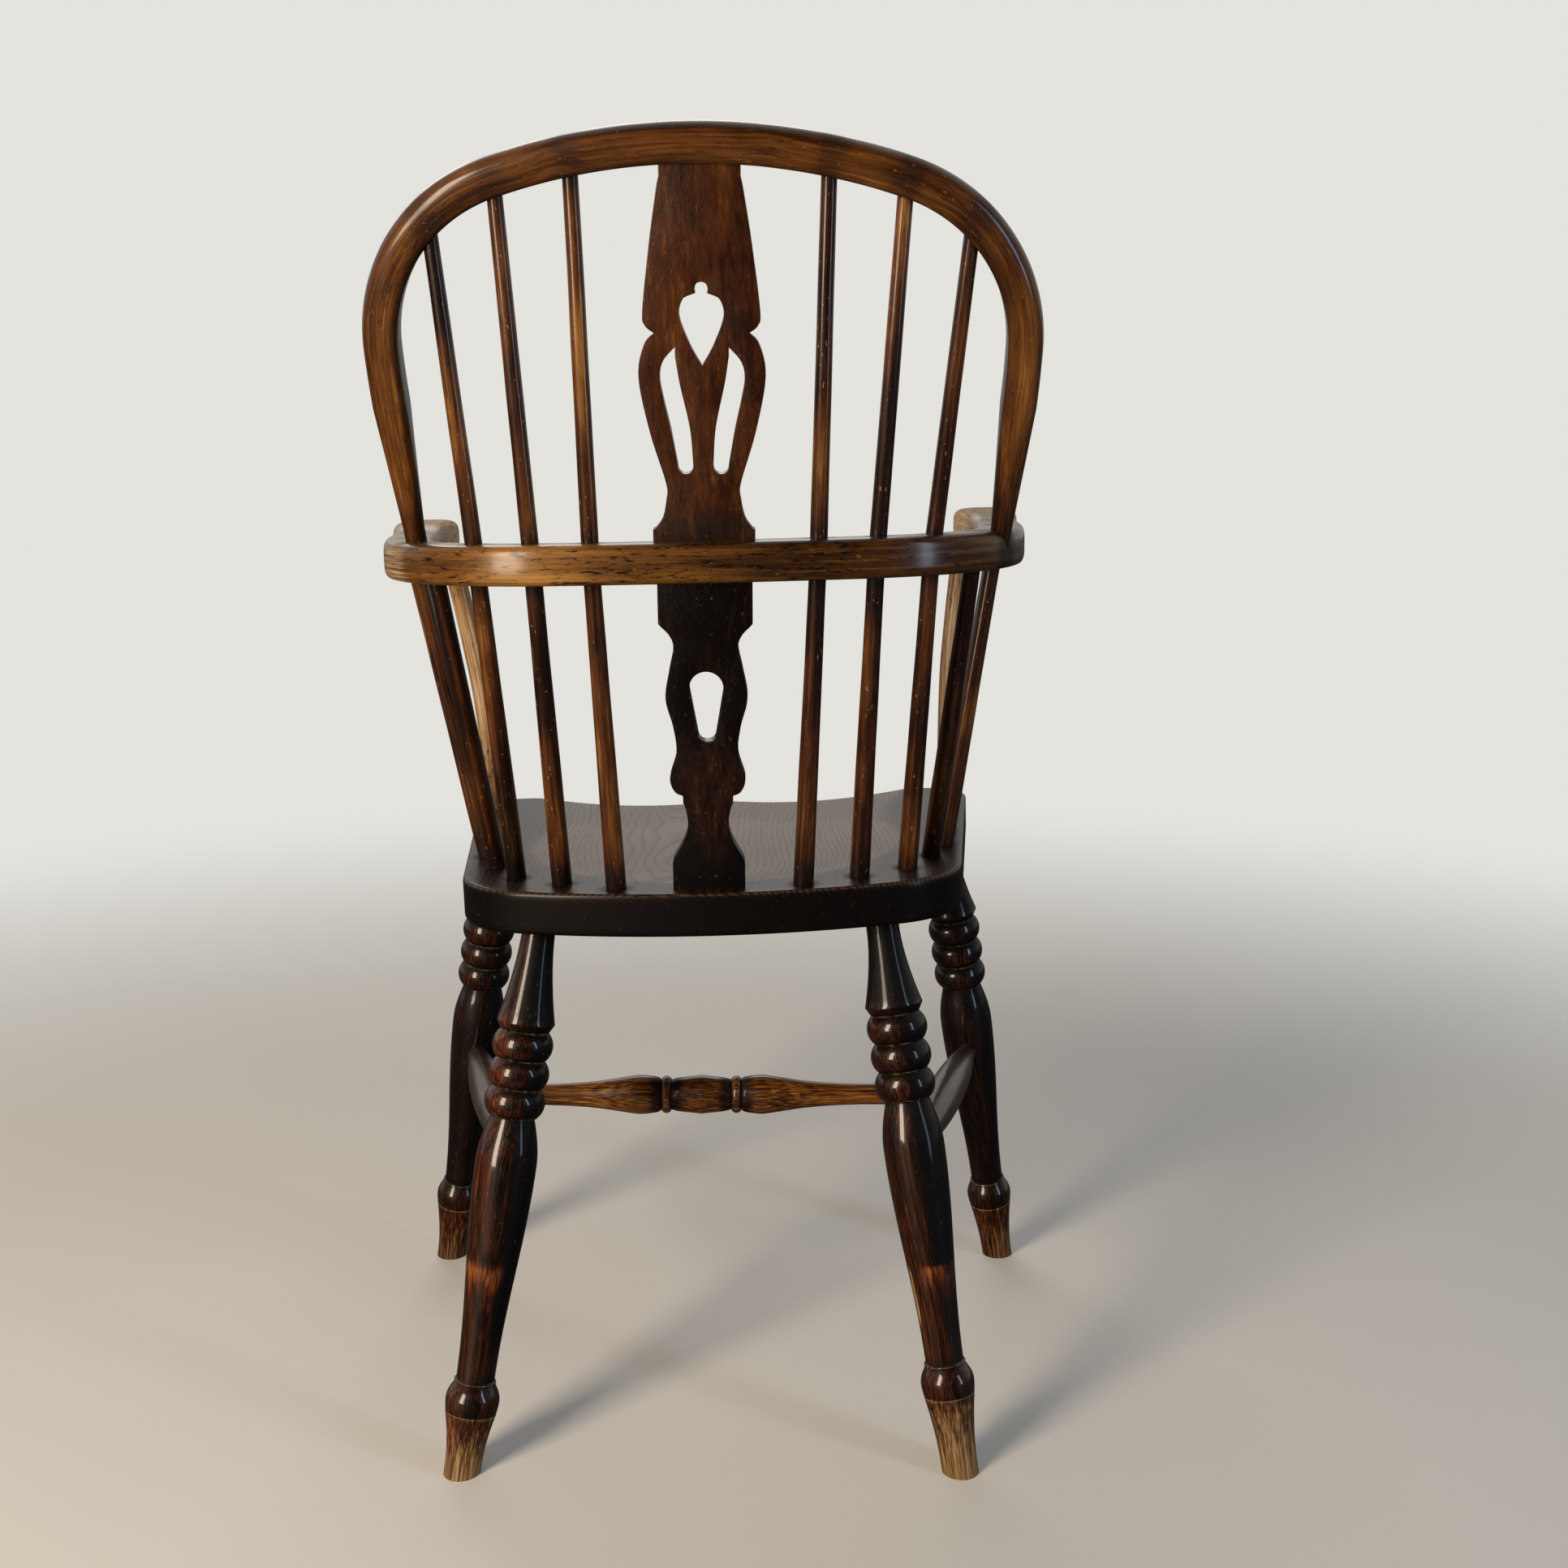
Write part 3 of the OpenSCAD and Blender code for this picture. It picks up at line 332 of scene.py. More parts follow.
def woodMaterial(name, look):
    material = bpy.data.materials.new(name)
    material.use_nodes = True
    tree = material.node_tree
    skin = tree.nodes["Principled BSDF"]
    grain = surfaceMark(tree, "grain", "Vector")
    figure = placeGroup(tree, woodFigure, {
        "Grain": grain, "Ring Spacing": look["ringSpacing"], "Wander": look["wander"],
    }).outputs
    ageAndLight = placeGroup(tree, ageingAndLight, {
        "Base": look["base"], "Streak": figure["Streak"], "Fibre": figure["Fibre"],
        "Blotch": figure["Blotch"], "Rings": figure["Rings"], "Wear And Light": surfaceMark(tree, "wearAndLight"),
        "Dirt And Shade": surfaceMark(tree, "dirtAndShade"), "Worn": surfaceMark(tree, "worn"),
        "Streak Amount": look["streak"], "Fibre Amount": look["fibre"], "Blotch Amount": look["blotch"],
        "Ring Amount": look["rings"], "Wear And Light Amount": look["wearAndLight"], "Dirt And Shade Amount": look["dirtAndShade"],
    }).outputs
    ramp = addNode(tree, "ValToRGB")
    feed(tree, ramp.inputs["Fac"], ageAndLight["Tone"])
    stops = ramp.color_ramp.elements
    for place, colour in look["tones"][1:-1]:
        stops.new(place)
    for stop, (place, colour) in zip(stops, look["tones"]):
        stop.position = place
        stop.color = linear(colour)
    darkened = calculate(tree, "MULTIPLY", figure["Fleck"], look["fleck"])
    colour = mixColour(tree, darkened, ramp.outputs["Color"], linear(look["fleckTone"]))
    threads = calculate(tree, "MULTIPLY_ADD", figure["Streak"], 0.5, figure["Fibre"])
    threads = remap(tree, threads, finishing["threadFrom"], finishing["threadTo"])
    bareColour = mixColour(tree, threads, linear(look["bareDark"]), linear(look["bareLight"]))
    colour = mixColour(tree, ageAndLight["Bare"], colour, bareColour)
    poreShare = calculate(tree, "MULTIPLY", figure["Pores"], look["pores"])
    colour = mixColour(tree, poreShare, colour, linear(look["fleckTone"]))
    nickShare = calculate(tree, "MULTIPLY", figure["Nick"], look["nicks"])
    colour = mixColour(tree, nickShare, colour, linear(look["nickTone"]))
    feed(tree, skin.inputs["Base Color"], colour)
    rough = calculate(tree, "MULTIPLY_ADD", figure["Blotch"], look["roughSpread"], look["rough"])
    rough = calculate(tree, "MULTIPLY_ADD", ageAndLight["Bare"], look["bareRough"], rough)
    dirtAndShade = surfaceMark(tree, "dirtAndShade")
    rough = calculate(tree, "MULTIPLY_ADD", dirtAndShade, finishing["dirtRough"], rough, clamp=True)
    feed(tree, skin.inputs["Roughness"], rough)
    dull = calculate(tree, "MULTIPLY_ADD", dirtAndShade, finishing["dirtDull"], ageAndLight["Bare"], clamp=True)
    polish = calculate(tree, "MULTIPLY_ADD", dull, -look["coat"], look["coat"], clamp=True)
    feed(tree, skin.inputs["Coat Weight"], polish)
    skin.inputs["Coat Roughness"].default_value = look["coatRough"]
    skin.inputs["Specular IOR Level"].default_value = look["specular"]
    height = figure["Fibre"]
    for word, depth in relief.items():
        height = calculate(tree, "MULTIPLY_ADD", figure[word], depth, height)
    height = calculate(tree, "MULTIPLY_ADD", figure["Rings"], look["ringDepth"], height)
    bump = addNode(tree, "Bump")
    bump.inputs["Strength"].default_value = look["bump"]
    bump.inputs["Distance"].default_value = finishing["reliefHeight"]
    feed(tree, bump.inputs["Height"], height)
    feed(tree, skin.inputs["Normal"], bump.outputs["Normal"])
    return material


legLook = {
    "base": 0.42, "tones": ((0, (2, 1, 1)), (0.35, (17, 5, 2)), (0.6, (58, 23, 7)), (0.8, (114, 59, 18)),
                            (1, (158, 96, 40))),
    "streak": 0.6, "fibre": 0.8, "blotch": 0.5, "rings": 0.16, "wearAndLight": 0.18, "dirtAndShade": 0.3,
    "ringSpacing": 0.0035, "wander": 0.004, "fleck": 0.35, "fleckTone": (6, 3, 2), "pores": 0.4,
    "nicks": 0.3, "nickTone": (120, 84, 52), "bareLight": (170, 136, 90), "bareDark": (82, 56, 28),
    "rough": 0.26, "roughSpread": 0.14, "bareRough": 0.35, "coat": 0.8, "coatRough": 0.09, "specular": 0.2,
    "ringDepth": 0.3, "bump": 0.3,
}
railLook = dict(
    legLook, base=0.50, streak=0.6, fibre=0.35, blotch=0.7, rings=0.05, wearAndLight=0.10, wander=0.006,
    tones=((0, (24, 12, 3)), (0.33, (62, 36, 10)), (0.6, (112, 72, 24)), (1, (186, 136, 66))),
    fleck=1.0, fleckTone=(22, 9, 4), pores=0.3, nickTone=(170, 120, 66), bareLight=(224, 196, 160),
    bareDark=(172, 138, 104), rough=0.30, coat=0.55, coatRough=0.18, bump=0.28,
)
hoopLook = dict(
    railLook, base=0.46, streak=0.7, fleck=0.45, fibre=0.5, blotch=1.0, coat=0.65, coatRough=0.15,
    tones=((0, (22, 10, 2)), (0.33, (60, 30, 6)), (0.6, (106, 62, 17)), (1, (176, 124, 56))),
)
stickLook = dict(
    legLook, base=0.46, streak=0.6, fibre=0.4, blotch=1.3, rings=0.04, wearAndLight=0.1,
    tones=((0, (8, 3, 1)), (0.35, (36, 15, 5)), (0.6, (86, 45, 14)), (1, (178, 124, 50))),
    fleck=0.4, fleckTone=(12, 6, 4), nicks=0.6, nickTone=(176, 128, 62), bareLight=(168, 122, 60),
    bareDark=(110, 70, 30), rough=0.28, coat=0.6, coatRough=0.14, bump=0.28,
)
splatLook = dict(
    legLook, base=0.48, streak=0.6, fibre=0.35, blotch=1.0, rings=0.05, wearAndLight=0.1, ringSpacing=0.006,
    tones=((0, (14, 5, 2)), (0.35, (42, 17, 4)), (0.6, (74, 36, 9)), (1, (128, 80, 32))), wander=0.010,
    fleck=0.35, fleckTone=(18, 7, 4), bareLight=(124, 84, 40), bareDark=(76, 42, 18), rough=0.30,
    coat=0.5, coatRough=0.18, bump=0.25,
)
darkSplatLook = dict(
    splatLook, base=0.38, blotch=1.1, streak=0.7, bareLight=(96, 62, 26), bareDark=(30, 14, 6),
    tones=((0, (2, 1, 1)), (0.35, (9, 4, 2)), (0.6, (36, 15, 6)), (0.85, (74, 42, 15)), (1, (112, 80, 38))),
)
stretcherLook = dict(
    railLook, base=0.47, rings=0.10, ringSpacing=0.0026, wander=0.003, streak=0.6, fibre=1.3, fleck=0.2,
    tones=((0, (12, 4, 1)), (0.33, (54, 25, 7)), (0.6, (124, 74, 24)), (1, (190, 136, 60))), coat=0.85,
    pores=0.5, wearAndLight=0.05, blotch=0.8,
)
sideStretcherLook = dict(
    stretcherLook, base=0.42, streak=0.8, coat=0.7, coatRough=0.22,
    tones=((0, (12, 7, 5)), (0.35, (40, 25, 18)), (0.6, (76, 52, 38)), (1, (122, 90, 66))),
)
seatLook = dict(
    legLook, base=0.50, streak=0.25, fibre=0.25, blotch=0.35, rings=0.30, wearAndLight=0.30, ringSpacing=0.0042,
    tones=((0, (8, 5, 4)), (0.33, (34, 22, 16)), (0.6, (74, 55, 43)), (1, (124, 102, 84))), wander=0.030,
    fleck=0.2, fleckTone=(20, 12, 8), nicks=0.2, bareLight=(120, 100, 86), bareDark=(66, 48, 40), rough=0.32,
    roughSpread=0.12, coat=0.32, coatRough=0.25, bump=0.22, pores=0.35, specular=0.1,
)
supportLook = dict(
    railLook, base=0.60,
    tones=((0, (40, 24, 12)), (0.33, (88, 60, 34)), (0.6, (140, 104, 66)), (1, (202, 168, 122))),
)
woodFigure = makeWoodFigure()
ageingAndLight = makeAgeAndLight()
finishes = {
    "leg": woodMaterial("polishedLegWood", legLook),
    "rail": woodMaterial("waxedRailWood", railLook),
    "stick": woodMaterial("stickWood", stickLook),
    "hoop": woodMaterial("waxedHoopWood", hoopLook),
    "splat": woodMaterial("splatWood", splatLook),
    "darkSplat": woodMaterial("darkSplatWood", darkSplatLook),
    "cross": woodMaterial("goldenStretcherWood", stretcherLook),
    "side": woodMaterial("sideStretcherWood", sideStretcherLook),
    "seat": woodMaterial("elmSeatWood", seatLook),
    "support": woodMaterial("armSupportWood", supportLook),
}
print("finishes made")


# Mesh helpers
mergeDistance = 1e-6


def newMesh():
    bm = bmesh.new()
    bm.verts.layers.float_vector.new("grain")
    # marks: rubbed crests with painted light and shade, wear, dirt with painted shade on the legs, and the
    # section's turn
    for name in ("wearAndLight", "worn", "dirtAndShade", "turn"):
        bm.verts.layers.float.new(name)
    return bm


def setGrain(bm, shift, turned=(0, 1, 2)):
    grain = bm.verts.layers.float_vector["grain"]
    for vert in bm.verts:
        vert[grain] = Vector([vert.co[i] for i in turned]) + Vector(shift)


def mark(bm, name, rule):
    layer = bm.verts.layers.float[name]
    for vert in bm.verts:
        vert[layer] = rule(vert)


def finishPiece(bm, name, finish, sharp=38):
    bmesh.ops.recalc_face_normals(bm, faces=bm.faces)
    for face in bm.faces:
        face.smooth = True
    for edge in bm.edges:
        edge.smooth = len(edge.link_faces) == 2 and edge.calc_face_angle() < math.radians(sharp)
    bm.verts.layers.float.remove(bm.verts.layers.float["turn"])
    mesh = bpy.data.meshes.new(name + "_wood")
    bm.to_mesh(mesh)
    bm.free()
    piece = bpy.data.objects.new(name + "_wood", mesh)
    bpy.context.scene.collection.objects.link(piece)
    mesh.materials.append(finishes[finish])
    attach(piece, "root")
    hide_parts(name)


def ease(t):
    t = max(0.0, min(1.0, t))
    return t * t * (3 - 2 * t)


def mix(a, b, t):
    return a + (b - a) * t


def throughPoints(points, steps):  # a smooth curve through every point
    out = []
    for i in range(len(points) - 1):
        a, b, c, d = (points[max(0, min(len(points) - 1, i + k))] for k in (-1, 0, 1, 2))
        for k in range(steps):
            t = k / steps
            out.append(tuple(
                q + (r - p) * t / 2 + (2 * p - 5 * q + 4 * r - s) * t * t / 2
                + (3 * q - p - 3 * r + s) * t ** 3 / 2
                for p, q, r, s in zip(a, b, c, d)
            ))
    return out + [tuple(points[-1])]


def arcPoints(centre, radius, fromAngle, toAngle, steps):
    turns = [math.radians(mix(fromAngle, toAngle, i / steps)) for i in range(steps + 1)]
    return [Vector((centre[0] + radius * math.cos(a), centre[1] + radius * math.sin(a))) for a in turns]


def alongLine(start, end):  # z runs from start to end
    way = Vector(end) - Vector(start)
    return Matrix.Translation(start) @ way.to_track_quat("Z", "X").to_matrix().to_4x4()


def spunPiece(profile, segments):
    bm = newMesh()
    line = [bm.verts.new((radius, 0, height)) for radius, height in profile]
    edges = [bm.edges.new(pair) for pair in zip(line, line[1:])]
    bmesh.ops.spin(bm, geom=line + edges, axis=(0, 0, 1), cent=(0, 0, 0), steps=segments,
                   angle=math.tau, use_merge=True)
    bmesh.ops.remove_doubles(bm, verts=bm.verts, dist=mergeDistance)
    return bm


def ridgeOfProfile(profile, reach, full=0.004):  # how far each height stands proud of its surroundings
    def rule(vert):
        height = vert.co.z
        near = [r for r, h in profile if abs(h - height) < reach and r > 0]
        radius = math.hypot(vert.co.x, vert.co.y)
        return max(-1.0, min(1.0, (radius - sum(near) / len(near)) / full)) if near else 0.0
    return rule


def nextRing(bm, edges):  # an open edge loop extruded once, ready to be placed
    made = bmesh.ops.extrude_edge_only(bm, edges=edges)["geom"]
    ring = [g for g in made if isinstance(g, bmesh.types.BMVert)]
    inRing = set(ring)
    return ring, [g for g in made if isinstance(g, bmesh.types.BMEdge) and inRing.issuperset(g.verts)]


def sweptPiece(stations, segments, shift):
    bm = newMesh()
    turn, grain = bm.verts.layers.float["turn"], bm.verts.layers.float_vector["grain"]
    bmesh.ops.create_circle(bm, cap_ends=True, radius=1, segments=segments)
    for vert in bm.verts:
        vert[turn] = math.atan2(vert.co.y, vert.co.x)
    ring, edges, length = list(bm.verts), list(bm.edges), 0.0
    for number, (frameOf, section) in enumerate(stations):
        if number:
            length += (frameOf.translation - stations[number - 1][0].translation).length
            ring, edges = nextRing(bm, edges)
        for vert in ring:
            a, b = section(vert[turn])
            vert.co = frameOf @ Vector((a, b, 0))
            vert[grain] = Vector((a, b, length)) + Vector(shift)
    bmesh.ops.contextual_create(bm, geom=edges)
    return bm


# Seat
seatShape = {
    "height": 0.456, "thickness": 0.034, "depth": 0.419, "frontWidth": 0.466, "backRadius": 0.515,
    "frontRadius": 1.5, "rearX": 0.126, "rearRadius": 0.075, "cornerRadius": 0.038, "dishRadius": 0.165,
    "dishDepth": 0.010, "dishBack": 0.196, "thighDepth": 0.013, "thighX": 0.060, "thighRadius": 0.600,
    "tilt": 1.5, "edge": 0.0035, "columns": 260, "rings": 64, "centreY": -0.215, "soften": 0.0012,
    "pith": (-0.035, -0.386, 0.4),
    "edgeSteps": 5, "sideSteps": 8, "baseSteps": 8, "baseMiddle": 0.1, "baseEdge": 0.97, "sharp": 50,
}
seatWear = {
    "hollowFrom": 0.0005, "hollowFade": 0.0011, "hollow": 1.2, "edgeAt": 0.0008, "edgeReach": 0.0006,
    "edge": 0.3, "rim": 0.9, "sides": 1.6, "front": 0.8, "frontFrom": -0.24, "frontFade": 0.05,
    "frontHalf": 0.17, "frontSideFade": 0.03, "holeReach": 0.007, "holeDepth": 0.02, "holeFade": 0.01,
    "sideDirt": 0.8, "sideDirtFrom": 1.2,
}
# Per leg: glow is the strength of its painted light, and lit sets where its painted shade begins on the far
# side
legPlaces = {
    "back_left": {
        "foot": (0.195, 0.036), "lean": (-0.144, -0.200), "extra": 0.0,
        "fade": 0.75, "patch": 1.0, "scar": False, "glow": 0.7, "lit": -0.1,
    },
    "back_right": {
        "foot": (-0.195, 0.036), "lean": (0.144, -0.200), "extra": 0.0133,
        "fade": 1.0, "patch": 0.8, "scar": True, "glow": 0.15, "lit": 0.3,
    },
    "front_left": {
        "foot": (0.271, -0.351), "lean": (-0.152, 0.099), "extra": 0.0112,
        "fade": 0.42, "patch": 0, "scar": False, "glow": 0, "lit": -0.1,
    },
    "front_right": {
        "foot": (-0.271, -0.351), "lean": (0.152, 0.099), "extra": 0.0116,
        "fade": 0.42, "patch": 0, "scar": False, "glow": 0, "lit": -0.1,
    },
}


def legAt(leg, height):
    (x, y), (leanX, leanY) = leg["foot"], leg["lean"]
    return Vector((x + leanX * height, y + leanY * height, height))


# Arm bow and hoop, as lines that the sticks also follow
armShape = {
    "underside": 0.692, "thickness": 0.030, "width": 0.040, "backY": 0.021, "backRadius": 0.900,
    "cornerRadius": 0.140, "cornerX": 0.093, "sideRadius": 1.138, "sideAngle": 11.5, "reach": 0.405,
    "handLength": 0.150, "handRise": 0.055, "handWidth": 0.057, "handThickness": 0.036, "handX": 0.257,
    "skew": 1.8, "tilt": 1.2, "square": 0.42, "handSquare": 0.7, "underSquare": 0.85, "tipShrink": 0.35,
    "dent": 0.015, "segments": 48, "sharp": 50, "grainShift": (0.025, 0.03, 20),
}
# glow is a painted highlight on the back's left, shade is painted shade on its right
armWearAndLight = {
    "crest": 0.8, "dark": 0.6, "glow": 2.4, "glowAt": 0.125, "glowReach": 0.055, "shade": 1.2,
    "shadeFrom": 0.03, "shadeFade": 0.08, "handFrom": -0.22, "handFade": 0.12, "arm": 0.45,
    "armFrom": -0.08, "armFade": 0.10, "shoulder": 0.42, "shoulderX": 0.195, "shoulderY": -0.03,
    "shoulderFade": 0.03, "dirtAndShade": 0.8, "dirtReach": 0.012,
}
hoopShape = {
    "rise": 0.2885, "y": 0.049, "lean": 22.3, "halfWidth": 0.2285, "topRadius": 0.447, "cornerRadius": 0.125,
    "sideRadius": 0.720, "taperAt": 0.103, "width": 0.026, "endWidth": 0.016, "straight": 0.008,
    "socket": 0.016, "segments": 48, "outerSquare": 0.84, "innerSquare": 0.42,
    "footIn": 0.006, "footRadius": 0.008, "sharp": 50, "wobble": 0.012, "grainShift": (0.03, 0.012, 12),
    "knots": ((0.192, 0.205, 1.0), (0.098, 0.280, -0.8), (-0.150, 0.245, 0.7), (-0.045, 0.286, -0.5)),
    "knotReach": 0.014, "knotPull": (0.010, 0.006, 0.030),
}
hoopWear = {
    "crest": 0.5, "outerShade": 1.4, "dirtReach": 0.016, "footDirt": 0.7, "footDirtReach": 0.05,
    "innerDark": 0.5,
}
armMiddle = Vector((0, armShape["backY"], armShape["underside"] + armShape["thickness"] / 2))
armTop = armShape["underside"] + armShape["thickness"]
armTurn = (
    Matrix.Translation(armMiddle)
    @ Matrix.Rotation(math.radians(armShape["skew"]), 4, "Z")
    @ Matrix.Rotation(math.radians(armShape["tilt"]), 4, "Y")
    @ Matrix.Translation(-armMiddle)
)


def inArm(side, x, y):
    return armTurn @ Vector((side * x, y, armMiddle.z))


def hoopPlace(x, up):
    lean = math.radians(hoopShape["lean"])
    return Vector((x, up * math.sin(lean) - hoopShape["y"], armTop + up * math.cos(lean)))


hoopTop = Vector((0, hoopShape["rise"] - hoopShape["topRadius"]))
hoopCornerX = hoopShape["halfWidth"] - hoopShape["cornerRadius"]
hoopCornerUp = math.sqrt((hoopShape["topRadius"] - hoopShape["cornerRadius"]) ** 2 - hoopCornerX ** 2)
hoopCorner = Vector((hoopCornerX, hoopTop.y + hoopCornerUp))
hoopTurn = math.degrees(math.atan2(hoopCornerX, hoopCornerUp))
hoopSide = Vector((hoopShape["halfWidth"] - hoopShape["sideRadius"], hoopCorner.y))
hoopSideTurn = math.degrees(math.asin((hoopCorner.y - hoopShape["taperAt"]) / hoopShape["sideRadius"]))


def hoopLine(x):
    if x < hoopShape["topRadius"] * math.sin(math.radians(hoopTurn)):
        return hoopTop.y + math.sqrt(hoopShape["topRadius"] ** 2 - x * x)
    return hoopCorner.y + math.sqrt(hoopShape["cornerRadius"] ** 2 - (x - hoopCorner.x) ** 2)


def inHoop(side, x):
    return hoopPlace(side * x, hoopLine(x))


# Sticks: place on the seat, place in the arm bow and, if long, distance from the middle in the hoop
stickShape = {
    "foot": 0.0156, "arm": 0.0129, "top": 0.0109, "socket": 0.012, "straight": 0.030, "armIn": 0.002,
    "segments": 28, "step": 0.006, "wobble": 0.00022, "wobbleScale": 14, "swell": 0.02, "swellScale": 22,
    "dirtReach": 0.032, "worn": 0.30, "wornScale": 9, "sharp": 60,
}
longSticks = {
    "inner": ((0.072, -0.024), (0.082, 0.016), 0.0875),
    "middle": ((0.116, -0.044), (0.125, 0.009), 0.140),
    "outer": ((0.155, -0.068), (0.167, -0.006), 0.187),
}
shortSticks = {
    "rear": ((0.177, -0.109), (0.203, -0.037)),
    "middle": ((0.191, -0.149), (0.234, -0.132)),
    "front": ((0.197, -0.204), (0.247, -0.222)),
}
supportShape = {
    "foot": (0.214, -0.358), "top": (0.236, -0.354), "width": 0.018, "bend": 0.005, "segments": 32,
    "dirtReach": 0.03, "worn": 0.45,
}


def onSeat(side, place):
    return Vector((side * place[0], place[1], seatShape["height"]))


def supportLine(side):
    low = onSeat(side, supportShape["foot"])
    high = armTurn @ Vector((side * supportShape["top"][0], supportShape["top"][1], armShape["underside"]))
    return low, high


seatHoles, armHoles, hoopHoles = [], [], []
for side in sides.values():
    for foot, arm, top in longSticks.values():
        seatHoles.append((onSeat(side, foot), stickShape["foot"] / 2))
        armHoles.append((inArm(side, *arm), stickShape["arm"] / 2))
        hoopHoles.append((inHoop(side, top), stickShape["top"] / 2))
    for foot, arm in shortSticks.values():
        seatHoles.append((onSeat(side, foot), stickShape["foot"] / 2))
        armHoles.append((inArm(side, *arm), stickShape["arm"] / 2))
    seatHoles.append((onSeat(side, supportShape["foot"]), supportShape["width"] / 2))
    hoopFoot = side * (hoopSide.x + hoopShape["sideRadius"] - hoopShape["footIn"])
    armHoles.append((hoopPlace(hoopFoot, 0), hoopShape["footRadius"]))


def nearHoles(point, holes, reach, flat=False):  # grime gathers round each joint
    most = 0.0
    for centre, radius in holes:
        way = point - centre
        if flat:
            way.z = 0
        most = max(most, 1 - max(0.0, way.length - radius) / reach)
    return most


def seatTop(x, y):  # height of the hollowed top before the seat leans
    low = seatShape["height"]
    rim = seatShape["dishRadius"]
    deep = seatShape["dishDepth"]
    big = (rim * rim + deep * deep) / (2 * deep)
    away = min(math.hypot(x, y + seatShape["dishBack"]), 1.4 * rim)  # beyond this the dish is above the rim
    dish = low - deep + big - math.sqrt(big * big - away ** 2)
    reach = seatShape["depth"] - seatShape["dishBack"]
    floor = seatShape["thighDepth"] * (1 - (y + seatShape["depth"]) / reach)
    heights = [low, dish]
    for side in sides.values():
        across = min(abs(x - side * seatShape["thighX"]), seatShape["thighRadius"] * 0.9)
        bow = seatShape["thighRadius"] - math.sqrt(seatShape["thighRadius"] ** 2 - across * across)
        heights.append(low - floor + bow)
    lowest = min(heights)
    soft = seatShape["soften"]
    total = sum(math.exp(-(h - lowest) / soft) for h in heights)
    return lowest - soft * math.log(total) * 0.5


def seatOutline():
    s = seatShape
    turn = math.degrees(math.asin(s["rearX"] / (s["backRadius"] - s["rearRadius"])))
    rearY = (s["backRadius"] - s["rearRadius"]) * math.cos(math.radians(turn)) - s["backRadius"]
    rear = Vector((s["rearX"], rearY))
    frontX = s["frontWidth"] / 2 - s["cornerRadius"]
    drop = math.sqrt((s["frontRadius"] - s["cornerRadius"]) ** 2 - frontX ** 2)
    front = Vector((frontX, s["frontRadius"] - s["depth"] - drop))
    frontTurn = math.degrees(math.asin(frontX / (s["frontRadius"] - s["cornerRadius"])))
    way = front - rear
    between = math.acos((s["rearRadius"] - s["cornerRadius"]) / way.length)
    sideTurn = math.degrees(math.atan2(way.y, way.x) + between)
    half = (
        arcPoints((0, -s["backRadius"]), s["backRadius"], 90, 90 - turn, 40)
        + arcPoints(rear, s["rearRadius"], 90 - turn, sideTurn, 40)
        + arcPoints(front, s["cornerRadius"], sideTurn, frontTurn - 90, 30)
        + arcPoints((0, s["frontRadius"] - s["depth"]), s["frontRadius"], frontTurn - 90, -90, 40)
    )
    return half + [Vector((-p.x, p.y)) for p in reversed(half)]


def evenPoints(points, count):  # the same closed line in equal steps
    points = [p for p, q in zip(points, points[1:] + points[:1]) if (p - q).length > mergeDistance]
    lengths = [(q - p).length for p, q in zip(points, points[1:] + points[:1])]
    stepLength, out, number, gone = sum(lengths) / count, [], 0, 0.0
    for i in range(count):
        while gone + lengths[number] < i * stepLength:
            gone += lengths[number]
            number += 1
        share = (i * stepLength - gone) / lengths[number]
        out.append(points[number].lerp(points[(number + 1) % len(points)], share))
    return out


